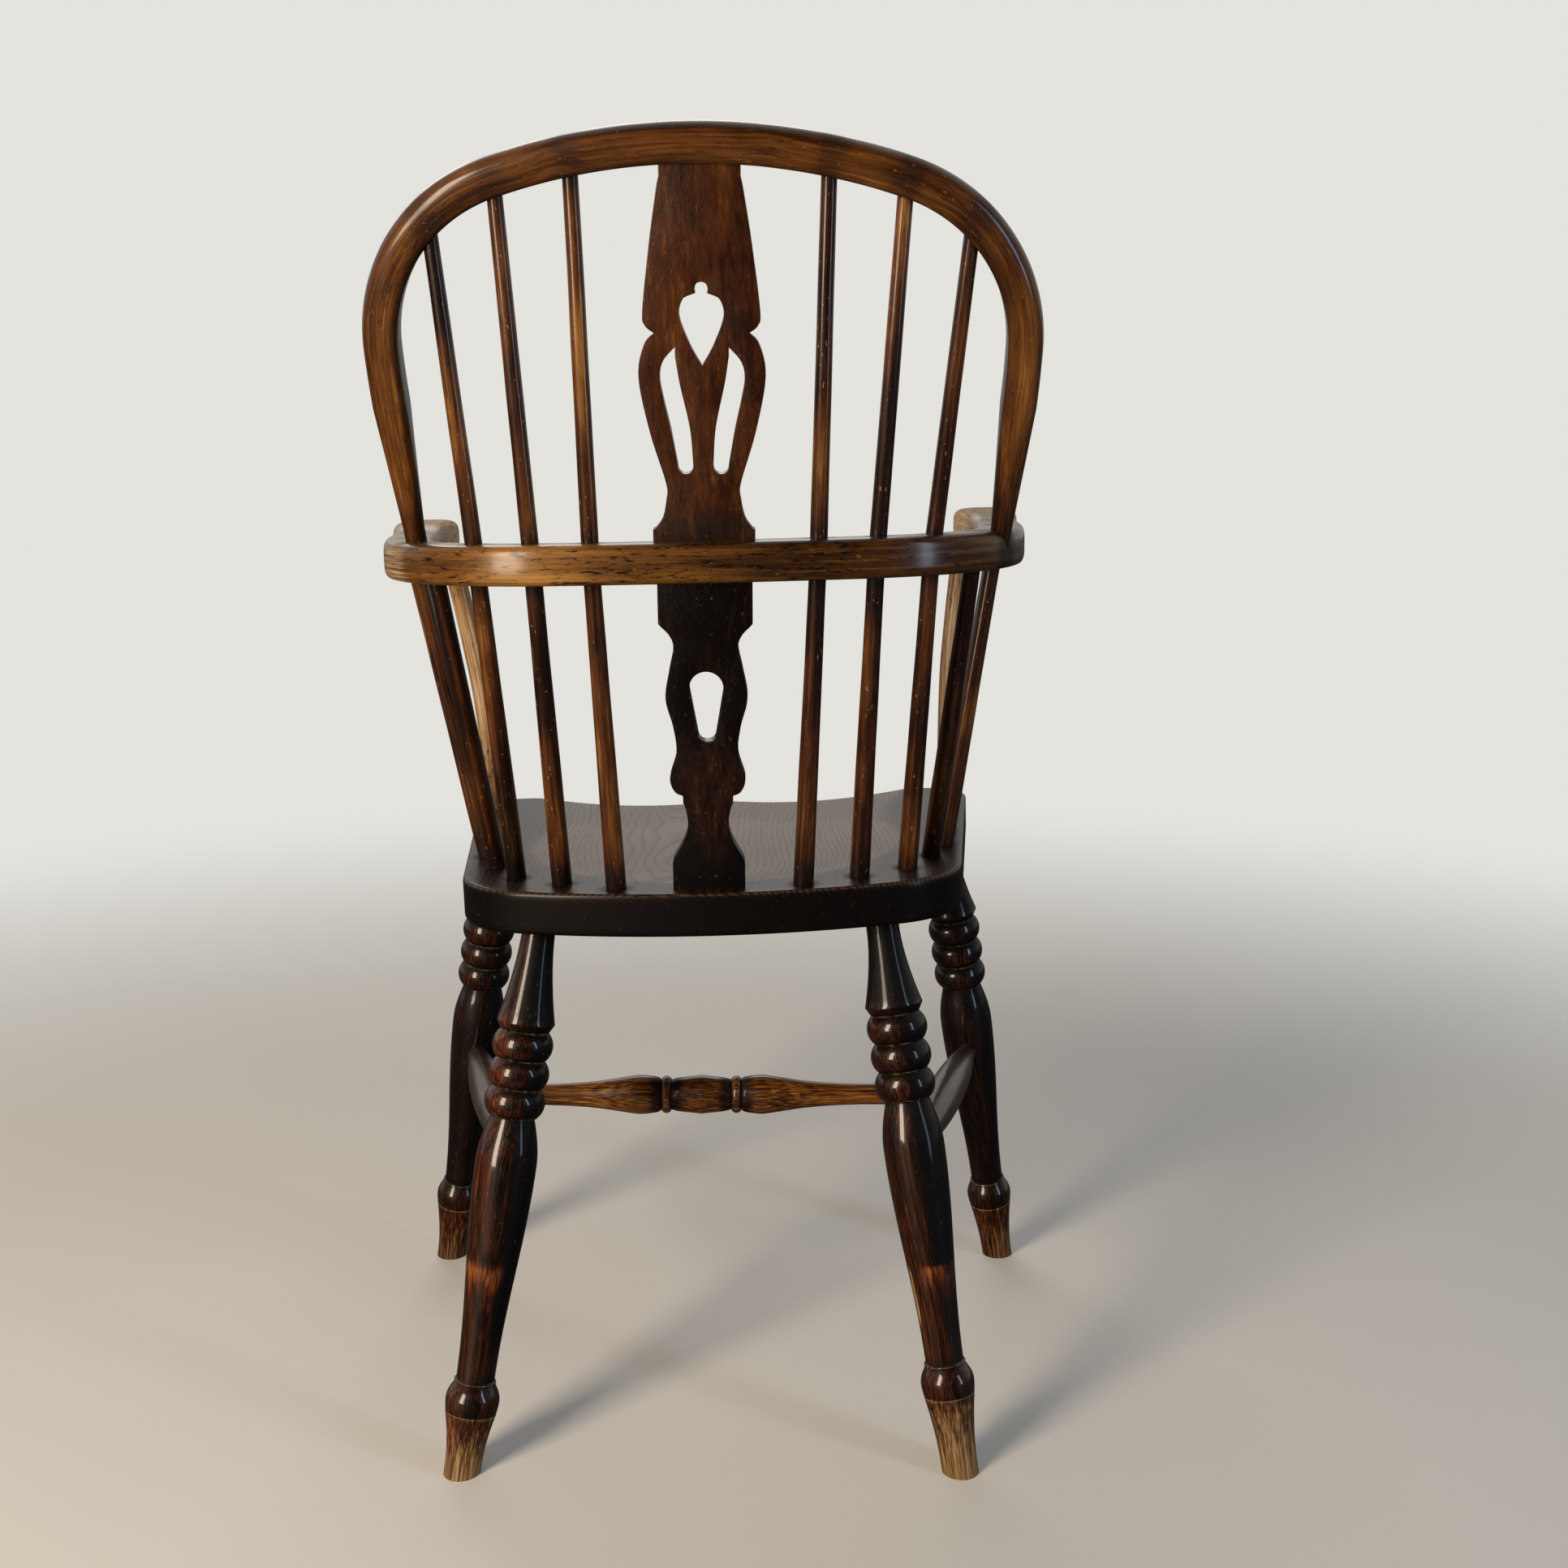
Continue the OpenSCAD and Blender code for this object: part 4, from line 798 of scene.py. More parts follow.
def makeSeat():
    s, w = seatShape, seatWear
    outline = evenPoints(seatOutline(), s["columns"])
    count = len(outline)
    inward = []
    for i in range(count):
        way = outline[(i + 1) % count] - outline[i - 1]
        normal = Vector((-way.y, way.x)).normalized()
        middle = Vector((0, s["centreY"]))
        inward.append(normal if normal.dot(middle - outline[i]) > 0 else -normal)
    low = s["height"] - s["thickness"]
    edge, steps = s["edge"], s["sideSteps"]
    base = [mix(s["baseMiddle"], s["baseEdge"], i / s["baseSteps"]) for i in range(s["baseSteps"] + 1)]
    turns = [math.radians(90 * i / s["edgeSteps"]) for i in range(s["edgeSteps"] + 1)]
    rings = [(share, 0.0, 0.0) for share in base]
    rings += [(1, edge * (1 - math.sin(a)), edge * (1 - math.cos(a))) for a in turns]
    firstSide = len(rings)
    rings += [(1, 0, 0.0) for i in range(1, steps)]
    firstTop = len(rings)
    rings += [(1, edge * (1 - math.cos(a)), -edge * (1 - math.sin(a))) for a in turns]
    rings += [(1 - i / s["rings"], edge, 0.0) for i in range(1, s["rings"])]
    bm = newMesh()
    turn = bm.verts.layers.float["turn"]
    bmesh.ops.create_circle(bm, cap_ends=True, radius=1, segments=count)
    for vert in bm.verts:
        vert[turn] = round((math.atan2(vert.co.y, vert.co.x) % math.tau) / math.tau * count) % count
    ring, edges = list(bm.verts), list(bm.edges)
    for number, (share, inset, up) in enumerate(rings):
        if number:
            ring, edges = nextRing(bm, edges)
        for vert in ring:
            i = int(vert[turn])
            x, y = outline[i] + inward[i] * inset
            x, y = x * share, mix(s["centreY"], y, share)
            top = seatTop(x, y)
            if number < firstSide:
                vert.co = (x, y, low + up)
            elif number < firstTop:
                vert.co = (x, y, mix(low + edge, top - edge, (number - firstSide + 1) / steps))
            else:
                vert.co = (x, y, top + up)
    bmesh.ops.pointmerge(bm, verts=ring, merge_co=sum((v.co for v in ring), Vector()) / len(ring))
    setGrain(bm, s["pith"], (0, 2, 1))

    def hollowWear(vert):  # the hollow is rubbed pale, its edge palest, the rim and the sides stay dark
        x, y, height = vert.co
        upper = ease((height - seatTop(x, y)) / edge + 1.0)
        depth = s["height"] - height
        hollow = ease((depth - w["hollowFrom"]) / w["hollowFade"])
        front = w["front"] * ease((w["frontFrom"] - y) / w["frontFade"])
        front *= ease((w["frontHalf"] - abs(x)) / w["frontSideFade"])
        hollow = max(hollow, front) * upper
        lip = math.exp(-((depth - w["edgeAt"]) / w["edgeReach"]) ** 2) * upper
        dark = w["rim"] * upper * (1 - hollow) + w["sides"] * (1 - upper)
        return w["hollow"] * hollow + w["edge"] * lip - dark

    def grime(vert):  # round the sticks' feet, and on the sides
        x, y, height = vert.co
        feet = ease(nearHoles(vert.co, seatHoles, w["holeReach"], True))
        feet *= ease((height - s["height"] + w["holeDepth"]) / w["holeFade"])
        return max(feet, w["sideDirt"] * ease((seatTop(x, y) - height) / edge - w["sideDirtFrom"]))

    mark(bm, "wearAndLight", hollowWear)
    mark(bm, "dirtAndShade", grime)
    pivot = Matrix.Translation((0, 0, s["height"]))
    lean = pivot @ Matrix.Rotation(math.radians(s["tilt"]), 4, "Y") @ pivot.inverted()
    bmesh.ops.transform(bm, matrix=stand @ lean, verts=bm.verts)
    finishPiece(bm, "seat", "seat", s["sharp"])


makeSeat()
print("seat made")


# Legs
legShape = {
    "foot": 0.0284, "sole": 0.005, "footTop": 0.0398, "footTopAt": 0.0472, "footHollow": 1.8, "cut": 0.0005,
    "ball": 0.042, "ballHeight": 0.0236, "ballMiddle": 0.42, "ballWaist": 0.0315,
    "fillet": 0.033, "filletHeight": 0.0024, "ankle": 0.030, "bulb": 0.0482,
    "bulbAt": 0.243, "neckAt": 0.2797, "neck": 0.0348, "ring": 0.0478, "ringWaist": 0.038, "ringAt": 0.292,
    "ringPitch": 0.0224, "collar": 0.0456, "collarAt": 0.355, "collarEdge": 0.0006, "topHollow": 1.7,
    "tenon": 0.026, "tenonIn": 0.008, "tenonLength": 0.014, "groove": 0.0005, "segments": 80,
    "below": 0.012, "filletDepth": 0.0004, "filletMiddle": 0.0012, "filletTop": 0.0003, "sharp": 32,
}
# dusk sets the painted shade on each leg's far side; the lines are thin painted highlights at the turning's
# edges, the fillet's line is wear
legWearAndLight = {
    "reach": 0.008, "patchAt": 0.166, "patchLength": 0.070, "patchTop": 0.004, "patchShort": 0.025,
    "patchShares": (0.7, 0.5), "patch": 1.7, "foot": 0.9, "dark": 0.6, "darkTop": 0.01, "darkTopFade": 0.02,
    "frontDark": 0.45, "frontFade": 0.03, "dusk": 0.6, "duskFade": 0.04, "footLow": 0.75,
    "lines": {"foot": 0.8, "fillet": 0.55, "ring": 0.45}, "lineWidth": 0.0006,
    "scar": 0.9, "scarWay": (0.93, 0.37, 0), "scarHalf": 0.09, "scarAt": 0.128, "scarLength": 0.014,
    "dirtAndShade": 1.5,
}


def ringProfile(low, width, waist, height, steps=12):
    out = (width - waist) / 2
    radius = (height * height / 4 + out * out) / (2 * out)
    turn = math.asin(height / 2 / radius)
    angles = [mix(-turn, turn, i / steps) for i in range(steps)]
    middle = (width / 2 - radius, low + height / 2)
    return [(middle[0] + radius * math.cos(a), middle[1] + radius * math.sin(a)) for a in angles]


def ballWidth(share):  # at a share of the ball's height
    s = legShape
    if share < s["ballMiddle"]:
        return mix(s["footTop"], s["ball"], math.sin(math.pi / 2 * share / s["ballMiddle"]))
    beyond = (share - s["ballMiddle"]) / (1 - s["ballMiddle"])
    return mix(s["ballWaist"], s["ball"], math.cos(math.pi / 2 * beyond))


def legProfile(extra, under):
    s = legShape
    step, cut, bottom = s["groove"], s["cut"], -extra - s["below"]
    ballEnd = s["footTopAt"] + s["ballHeight"]
    ankleAt = ballEnd + s["filletHeight"]
    ringLow = s["ringAt"] - s["ringPitch"] / 2
    sole = s["sole"] - extra
    line = [(0, bottom), (s["foot"] / 2, bottom)]
    line += [(mix(s["foot"], s["footTop"], (i / 18) ** s["footHollow"]) / 2,
              mix(sole, s["footTopAt"] - cut, i / 18)) for i in range(19)]
    line += [(s["footTop"] / 2 - cut, s["footTopAt"] + way * cut / 3) for way in (-1, 1)]
    line += [(ballWidth(i / 20) / 2, mix(s["footTopAt"] + cut, ballEnd, i / 20)) for i in range(21)]
    fillet = s["fillet"] / 2
    line += [(fillet - s["filletDepth"], ballEnd + step), (fillet, ballEnd + s["filletMiddle"]),
             (fillet - s["filletDepth"], ankleAt - s["filletTop"])]
    line += [(mix(s["ankle"], s["bulb"], (1 - math.cos(math.pi * i / 44)) / 2) / 2,
              mix(ankleAt + step, s["bulbAt"], i / 44)) for i in range(45)]
    line += [(mix(s["neck"], s["bulb"], math.cos(math.pi / 2 * i / 16)) / 2,
              mix(s["bulbAt"], s["neckAt"], i / 16)) for i in range(1, 17)]
    for i in range(3):
        line += ringProfile(ringLow + i * s["ringPitch"], s["ring"], s["ringWaist"], s["ringPitch"])
    collarLow, edge = s["collarAt"] - s["collarEdge"], s["collarEdge"] / 2
    low = (s["ringWaist"] / 2, ringLow + 3 * s["ringPitch"])
    high = (s["collar"] / 2 - edge, collarLow - edge / 2)
    line += [(mix(low[0], high[0], i / 4), mix(low[1], high[1], i / 4)) for i in range(5)]
    line += [(s["collar"] / 2, collarLow + edge)]
    line += [(mix(s["tenon"], s["collar"], (1 - i / 30) ** s["topHollow"]) / 2,
              mix(s["collarAt"], under - extra - s["tenonIn"], i / 30)) for i in range(31)]
    return line + [(s["tenon"] / 2, under - extra + s["tenonLength"]), (0, under - extra + s["tenonLength"])]


def makeLeg(name, number):
    place, s, w = legPlaces[name], legShape, legWearAndLight
    foot, head = legAt(place, 0), legAt(place, seatShape["height"] - seatShape["thickness"])
    profile = legProfile(place["extra"], (head - foot).length)
    bm = spunPiece(profile, s["segments"])
    setGrain(bm, (0.03 + 0.011 * number, 0.02 - 0.017 * number, 0.7 * number))
    proud = ridgeOfProfile(profile, w["reach"])
    turned = alongLine(foot, head) @ Matrix.Translation((0, 0, place["extra"]))
    rotation = turned.to_3x3()

    footEnd = s["footTopAt"] - s["cut"]
    side = sides[name.split("_")[1]]

    def rubbed(vert):  # crests are rubbed, a patch where heels and floors have scraped, the tops and front legs darker; painted light on the lit side and painted shade on the far side
        x, y, height = vert.co
        outward = rotation @ Vector((x, y, 0)).normalized()
        facing = ease((outward.y - 0.1) / 0.5) * ease((outward.x * side + 0.75) / 0.5)
        below = w["patchAt"] - (height + place["extra"])
        short, long = (ease(1 - below / length) for length in (w["patchShort"], w["patchLength"]))
        patch = w["patchShares"][0] * short + w["patchShares"][1] * long
        patch *= ease(below / w["patchTop"] + 0.5)
        foot = 1.0 if height < footEnd else 0.0
        dark = ease((height - s["collarAt"] + w["darkTop"]) / w["darkTopFade"])
        dark = max(dark, w["frontDark"] * (not place["patch"]) * ease(height / w["frontFade"] - 2))
        # painted shade: the side turned away from +x is darkened
        dark = max(dark, ease((place["lit"] - outward.x) / w["dusk"]) * ease(height / w["duskFade"] - 2))
        # painted light: a glow on the side facing +x and the back
        glow = place["glow"] * ease((outward.x + 0.1) / 0.7) * ease((outward.y + 0.1) / 0.4)
        scraped = w["patch"] * place["patch"] * patch * facing
        return proud(vert) + glow + scraped + w["foot"] * foot - w["dark"] * dark

    # painted highlights: thin pale lines along the arrises of the foot's cut and the rings; the fillet's
    # line is wear
    glintAndWearLines = [(s["footTopAt"], w["lines"]["foot"]),
            (s["footTopAt"] + s["ballHeight"] + s["filletHeight"] / 2, w["lines"]["fillet"])]
    glintAndWearLines += [(s["ringAt"] + (i - 0.5) * s["ringPitch"], w["lines"]["ring"]) for i in range(4)]

    def bareness(vert):  # the foot, thin pale lines at the turning's edges (painted highlights, the fillet's line wear), and a scar on one leg
        x, y, height = vert.co
        foot = place["fade"] * (1 - w["footLow"] * (height + place["extra"]) / (footEnd + place["extra"]))
        lines = max(depth * math.exp(-((height - level) / w["lineWidth"]) ** 2) for level, depth in glintAndWearLines)
        outward = rotation @ Vector((x, y, 0)).normalized()
        scar = 0.0
        if place["scar"]:
            away = (outward - Vector(w["scarWay"]).normalized()).length
            scar = w["scar"] * ease(2 - away / w["scarHalf"])
            scar *= ease(2 - abs(height - w["scarAt"]) / w["scarLength"])
        return max(foot if height < footEnd else 0.0, lines, scar)

    mark(bm, "wearAndLight", rubbed)
    mark(bm, "worn", bareness)
    wearAndLight = bm.verts.layers.float["wearAndLight"]
    # where the mark above is low this darkens and dulls: dirt in the grooves, the darker tops and front
    # legs, and painted shade on the far side
    mark(bm, "dirtAndShade", lambda vert: ease(-vert[wearAndLight] * w["dirtAndShade"]))
    bmesh.ops.transform(bm, matrix=turned, verts=bm.verts)
    cut = bmesh.ops.bisect_plane(bm, geom=bm.verts[:] + bm.edges[:] + bm.faces[:], plane_co=(0, 0, 0),
                                 plane_no=(0, 0, -1), clear_outer=True)["geom_cut"]
    bmesh.ops.contextual_create(bm, geom=[g for g in cut if isinstance(g, bmesh.types.BMEdge)])
    bmesh.ops.transform(bm, matrix=stand, verts=bm.verts)
    finishPiece(bm, "leg_" + name, "leg", s["sharp"])


for number, name in enumerate(legPlaces):
    makeLeg(name, number)
print("legs made")


# Stretchers
stretcherShape = {
    "frontHeight": 0.222, "backHeight": 0.244, "side": 0.032, "sideEnd": 0.018, "straight": 0.034,
    "crossEnd": 0.018, "shift": 0.014, "barrel": 0.0333, "barrelHalf": 0.0258, "bead": 0.0324,
    "groove": 0.026, "beadAt": 0.0304, "vase": 0.0337, "vaseAt": 0.051, "thinAt": 0.138, "endIn": 0.003,
    "barrelKnee": (0.47, 0.72), "vaseFoot": (0.6, 0.0035), "vaseCrown": (0.0008, 0.010),
    "vaseTaper": ((0.38, 0.43), (0.12, 0.71)), "segments": 56, "sideSteps": 60,
}
stretcherWear = {"sideDirt": 0.8, "sideFrom": 1.4, "sideReach": 0.03, "endFrom": 1.3, "endReach": 0.025,
                 "reach": 0.006, "beadFrom": 1.2, "beadRise": 2.5, "beadTo": 1.9}


def sideMiddle(side):
    front, back = ("front_left", "back_left") if side > 0 else ("front_right", "back_right")
    return (legAt(legPlaces[front], stretcherShape["frontHeight"])
            + legAt(legPlaces[back], stretcherShape["backHeight"])) / 2


def makeSideStretcher(word, number):
    s, w = stretcherShape, stretcherWear
    front = legAt(legPlaces["front_" + word], s["frontHeight"])
    back = legAt(legPlaces["back_" + word], s["backHeight"])
    length = (back - front).length
    half, swell = length / 2 - s["straight"], (s["side"] - s["sideEnd"]) / 2
    radius = (half * half + swell * swell) / (2 * swell)
    profile = [(0, s["endIn"]), (s["sideEnd"] / 2, s["endIn"])]
    for i in range(s["sideSteps"] + 1):
        away = mix(-half, half, i / s["sideSteps"])
        profile.append((s["side"] / 2 - radius + math.sqrt(radius ** 2 - away ** 2), length / 2 + away))
    profile += [(s["sideEnd"] / 2, length - s["endIn"]), (0, length - s["endIn"])]
    bm = spunPiece(profile, s["segments"])
    setGrain(bm, (0.022, 0.03 * number, 3 + number))
    mark(bm, "dirtAndShade", lambda vert: w["sideDirt"] * ease(
        w["sideFrom"] - min(vert.co.z, length - vert.co.z) / w["sideReach"]))
    bmesh.ops.transform(bm, matrix=stand @ alongLine(front, back), verts=bm.verts)
    finishPiece(bm, "side_stretcher_" + word, "side")


def makeCrossStretcher():
    s, w = stretcherShape, stretcherWear
    start, end = sideMiddle(1), sideMiddle(-1)
    length = (end - start).length
    groove, bead = s["groove"] / 2, s["beadAt"] - s["barrelHalf"]
    thick, along = s["barrelKnee"]
    knee = (mix(groove, s["barrel"] / 2, thick), s["barrelHalf"] * along)
    half = throughPoints([(s["barrel"] / 2, 0), knee, (groove, s["barrelHalf"])], 10)
    beadLine = arcPoints((s["bead"] / 2 - bead, s["beadAt"]), bead, -90, 90, 12)
    half += [(p.x, p.y) for p in beadLine]
    (footShare, footRise), (crownDrop, crownLength) = s["vaseFoot"], s["vaseCrown"]
    vase = [
        (groove + 0.0004, s["beadAt"] + bead),
        (mix(groove, s["vase"] / 2, footShare), s["beadAt"] + bead + footRise),
        (s["vase"] / 2, s["vaseAt"]), (s["vase"] / 2 - crownDrop, s["vaseAt"] + crownLength),
    ]
    for thick, along in s["vaseTaper"]:
        vase.append((mix(s["crossEnd"], s["vase"], thick) / 2, mix(s["vaseAt"], s["thinAt"], along)))
    half += throughPoints(vase + [(s["crossEnd"] / 2, s["thinAt"])], 9)
    centre = length / 2 - s["shift"]
    line = [(r, centre - h) for r, h in reversed(half)] + [(r, centre + h) for r, h in half[1:]]
    profile = [(0, s["endIn"]), (s["crossEnd"] / 2, s["endIn"])] + line
    profile += [(s["crossEnd"] / 2, length - s["endIn"]), (0, length - s["endIn"])]
    bm = spunPiece(profile, s["segments"])
    setGrain(bm, (0.012, 0.016, 6))
    mark(bm, "wearAndLight", ridgeOfProfile(profile, w["reach"]))

    def grime(vert):  # dark on both sides of the beads, whose crests are rubbed
        away = abs(abs(vert.co.z - centre) - s["beadAt"]) / bead
        beside = ease(away * w["beadRise"] - w["beadFrom"]) * ease(w["beadTo"] - away / 2)
        return max(beside, ease(w["endFrom"] - min(vert.co.z, length - vert.co.z) / w["endReach"]))

    mark(bm, "dirtAndShade", grime)
    bmesh.ops.transform(bm, matrix=stand @ alongLine(start, end), verts=bm.verts)
    finishPiece(bm, "cross_stretcher", "cross")


for number, word in enumerate(sides):
    makeSideStretcher(word, number)
makeCrossStretcher()
print("stretchers made")


# Sticks and arm supports
def roundSection(width):
    return lambda turn: (width / 2 * math.cos(turn), width / 2 * math.sin(turn))


def bentLine(points, step):  # stations along straight runs with a soft knee where they meet
    out = []
    for start, end in zip(points, points[1:]):
        count = max(2, round((end - start).length / step))
        out += [start.lerp(end, i / count) for i in range(count)]
    out.append(points[-1])
    for _ in range(3):
        out = [out[0]] + [(a + b * 2 + c) / 4 for a, b, c in zip(out, out[1:], out[2:])] + [out[-1]]
    return out


def rodStations(line, widths, seed):
    across = Vector((1, 0, 0))
    stations, length = [], 0.0
    total = sum((b - a).length for a, b in zip(line, line[1:]))
    for i, point in enumerate(line):
        way = (line[min(i + 1, len(line) - 1)] - line[max(i - 1, 0)]).normalized()
        side = (across - way * across.dot(way)).normalized()
        up = way.cross(side)
        if i:
            length += (point - line[i - 1]).length
        sway = noise.noise(Vector((seed, length * stickShape["wobbleScale"], 0))) * stickShape["wobble"]
        swelling = noise.noise(Vector((seed + 5, length * stickShape["swellScale"], 0)))
        swell = 1 + stickShape["swell"] * swelling
        frameOf = Matrix((side, up, way)).transposed().to_4x4()
        frameOf.translation = point + side * sway
        stations.append((frameOf, roundSection(widths(length, total) * swell)))
    return stations


def makeStick(name, foot, arm, top, seed):
    s = stickShape
    low = foot - (arm - foot).normalized() * s["socket"]
    points = [low, arm] if top is None else [low, arm, top]
    if top is None:
        points[1] = arm - (arm - foot).normalized() * s["armIn"]
    armLength = (arm - low).length

    def width(length, total):
        if length < armLength:
            share = (length - s["straight"]) / (armLength - 2 * s["straight"])
            return mix(s["foot"], s["arm"], (ease(share) + max(0, min(1, share))) / 2)
        return mix(s["arm"], s["top"], min(1, (length - armLength) / (total - armLength)))

    bm = sweptPiece(rodStations(bentLine(points, s["step"]), width, seed), s["segments"],
                    (0.02 + 0.003 * (seed % 5), 0.014 + 0.004 * (seed % 3), seed * 1.7))
    ends = [(foot, 0.0), (arm, 0.0)] + ([(top, 0.0)] if top is not None else [])
    mark(bm, "dirtAndShade", lambda vert: ease(nearHoles(vert.co, ends, s["dirtReach"])))
    mark(bm, "worn", lambda vert: s["worn"] * ease(
        noise.noise(Vector((seed, vert.co.z * s["wornScale"], 1))) * 2))
    bmesh.ops.transform(bm, matrix=stand, verts=bm.verts)
    finishPiece(bm, name, "stick", s["sharp"])


def makeSupport(word, side, seed):
    s = supportShape
    low, high = supportLine(side)
    middle = (low + high) / 2 - Vector((side * s["bend"], 0, 0))
    start = low - (middle - low).normalized() * stickShape["socket"]
    end = high + (high - middle).normalized() * stickShape["socket"]
    points = [tuple(p) for p in (start, low, middle, high, end)]
    line = [Vector(p) for p in throughPoints(points, 12)]
    stations = rodStations(line, lambda length, total: s["width"], seed)
    bm = sweptPiece(stations, s["segments"], (0.03, 0.02, seed))
    mark(bm, "dirtAndShade", lambda vert: ease(nearHoles(vert.co, [(low, 0), (high, 0)], s["dirtReach"])))
    mark(bm, "worn", lambda vert: s["worn"] * ease(
        math.sin((vert.co.z - low.z) / (high.z - low.z) * math.pi)))
    bmesh.ops.transform(bm, matrix=stand, verts=bm.verts)
    finishPiece(bm, "arm_support_" + word, "support", stickShape["sharp"])


seed = 1
for word, side in sides.items():
    for name, (foot, arm, top) in longSticks.items():
        low, middle, high = onSeat(side, foot), inArm(side, *arm), inHoop(side, top)
        makeStick(f"long_stick_{word}_{name}", low, middle, high, seed)
        seed += 1
    for name, (foot, arm) in shortSticks.items():
        makeStick(f"short_stick_{word}_{name}", onSeat(side, foot), inArm(side, *arm), None, seed)
        seed += 1
    makeSupport(word, side, seed)
    seed += 1
print("sticks made")


# Hoop
def hoopStations():
    s = hoopShape
    lean = math.radians(s["lean"])
    half = []
    turn = math.radians(hoopSideTurn)
    low = hoopSide + s["sideRadius"] * Vector((math.cos(turn), -math.sin(turn)))
    for i in range(26):
        up = mix(-s["socket"], s["taperAt"], i / 26)
        x = low.x - (low.y - up) * math.tan(math.radians(hoopSideTurn))
        share = max(0, (up - s["straight"]) / (s["taperAt"] - s["straight"]))
        half.append((Vector((x, up)), -hoopSideTurn, mix(s["endWidth"], s["width"], share)))
    for centre, radius, first, last, count in (
        (hoopSide, s["sideRadius"], -hoopSideTurn, 0, 12),
        (hoopCorner, s["cornerRadius"], 0, 90 - hoopTurn, 44),
        (hoopTop, s["topRadius"], 90 - hoopTurn, 90, 44),
    ):
        for i in range(count):
            angle = mix(first, last, i / count)
            out = Vector((math.cos(math.radians(angle)), math.sin(math.radians(angle))))
            half.append((centre + radius * out, angle, s["width"]))
    whole = half + [(hoopTop + Vector((0, s["topRadius"])), 90, s["width"])]
    whole += [(Vector((-p.x, p.y)), 180 - angle, width) for p, angle, width in reversed(half)]
    stations = []
    for number, (place, angle, width) in enumerate(whole):
        turn = math.radians(angle)
        out = Vector((math.cos(turn), math.sin(lean) * math.sin(turn), math.cos(lean) * math.sin(turn)))
        front = Vector((0, -math.cos(lean), math.sin(lean)))
        frameOf = Matrix((out, front, out.cross(front))).transposed().to_4x4()
        frameOf.translation = hoopPlace(*place)
        stations.append((frameOf, hoopSection(width, number)))
    return stations


def hoopSection(width, number):
    thick = (width - hoopShape["endWidth"]) / (hoopShape["width"] - hoopShape["endWidth"])

    def section(turn):
        c, d = math.cos(turn), math.sin(turn)
        power = mix(1, mix(hoopShape["outerSquare"], hoopShape["innerSquare"], ease(-c * 1.5 + 0.4)), thick)
        worn = 1 - hoopShape["wobble"] * thick * noise.noise(Vector((c * 0.8, d * 0.8, number * 0.09)))
        half = width / 2 * min(1, worn)
        return math.copysign(abs(c) ** power, c) * half, math.copysign(abs(d) ** power, d) * half
    return section


def makeHoop():
    s, w = hoopShape, hoopWear
    shift = Vector(s["grainShift"])
    bm = sweptPiece(hoopStations(), s["segments"], shift)
    grain = bm.verts.layers.float_vector["grain"]
    half = s["width"] / 2

    def crest(vert):  # corners are rubbed, the outside stays dark
        a, b = (vert[grain] - shift)[:2]
        shade = w["outerShade"] * ease((a / half - 0.55) / 0.4)
        return w["crest"] * abs(a * b) / (half * half) - shade

    def grime(vert):  # round the sticks and near the arm bow; the inside is made darker
        joints = ease(nearHoles(vert.co, hoopHoles, w["dirtReach"]))
        foot = w["footDirt"] * ease(1 - (vert.co.z - armTop) / w["footDirtReach"])
        return joints + foot + w["innerDark"] * ease(-(vert[grain].x - shift.x) / half * 2 - 0.8)

    mark(bm, "wearAndLight", crest)
    mark(bm, "dirtAndShade", grime)
    for x, up, strength in s["knots"]:
        centre = hoopPlace(x, up)
        for vert in bm.verts:
            near = math.exp(-((vert.co - centre).length / s["knotReach"]) ** 2)
            vert[grain] += Vector(s["knotPull"]) * strength * near
    bmesh.ops.transform(bm, matrix=stand, verts=bm.verts)
    finishPiece(bm, "hoop", "hoop", s["sharp"])


makeHoop()
print("hoop made")


# Arm bow
def armLine():
    s = armShape
    turn = math.degrees(math.asin(s["cornerX"] / (s["backRadius"] - s["cornerRadius"])))
    cornerY = (s["backRadius"] - s["cornerRadius"]) * math.cos(math.radians(turn)) - s["backRadius"]
    corner = Vector((s["cornerX"], cornerY))
    out = Vector((math.cos(math.radians(s["sideAngle"])), math.sin(math.radians(s["sideAngle"]))))
    side = corner + out * (s["cornerRadius"] - s["sideRadius"])
    handY = s["handLength"] - s["reach"]
    last = math.degrees(math.asin((handY - side.y) / s["sideRadius"]))
    line = arcPoints((0, -s["backRadius"]), s["backRadius"], 90, 90 - turn, 30)
    line += arcPoints(corner, s["cornerRadius"], 90 - turn, s["sideAngle"], 44)[1:]
    line += arcPoints(side, s["sideRadius"], s["sideAngle"], last, 44)[1:]
    tip = Vector((s["handX"], s["handWidth"] / 2 - s["reach"]))
    start = line[-1]
    line += [start.lerp(tip, i / 24) for i in range(1, 25)]
    angles = [math.pi / 2 * i / 16 for i in range(1, 17)]
    line += [tip + Vector((0, -math.sin(a) * s["handWidth"] / 2)) for a in angles]
    return line, handY, tip.y


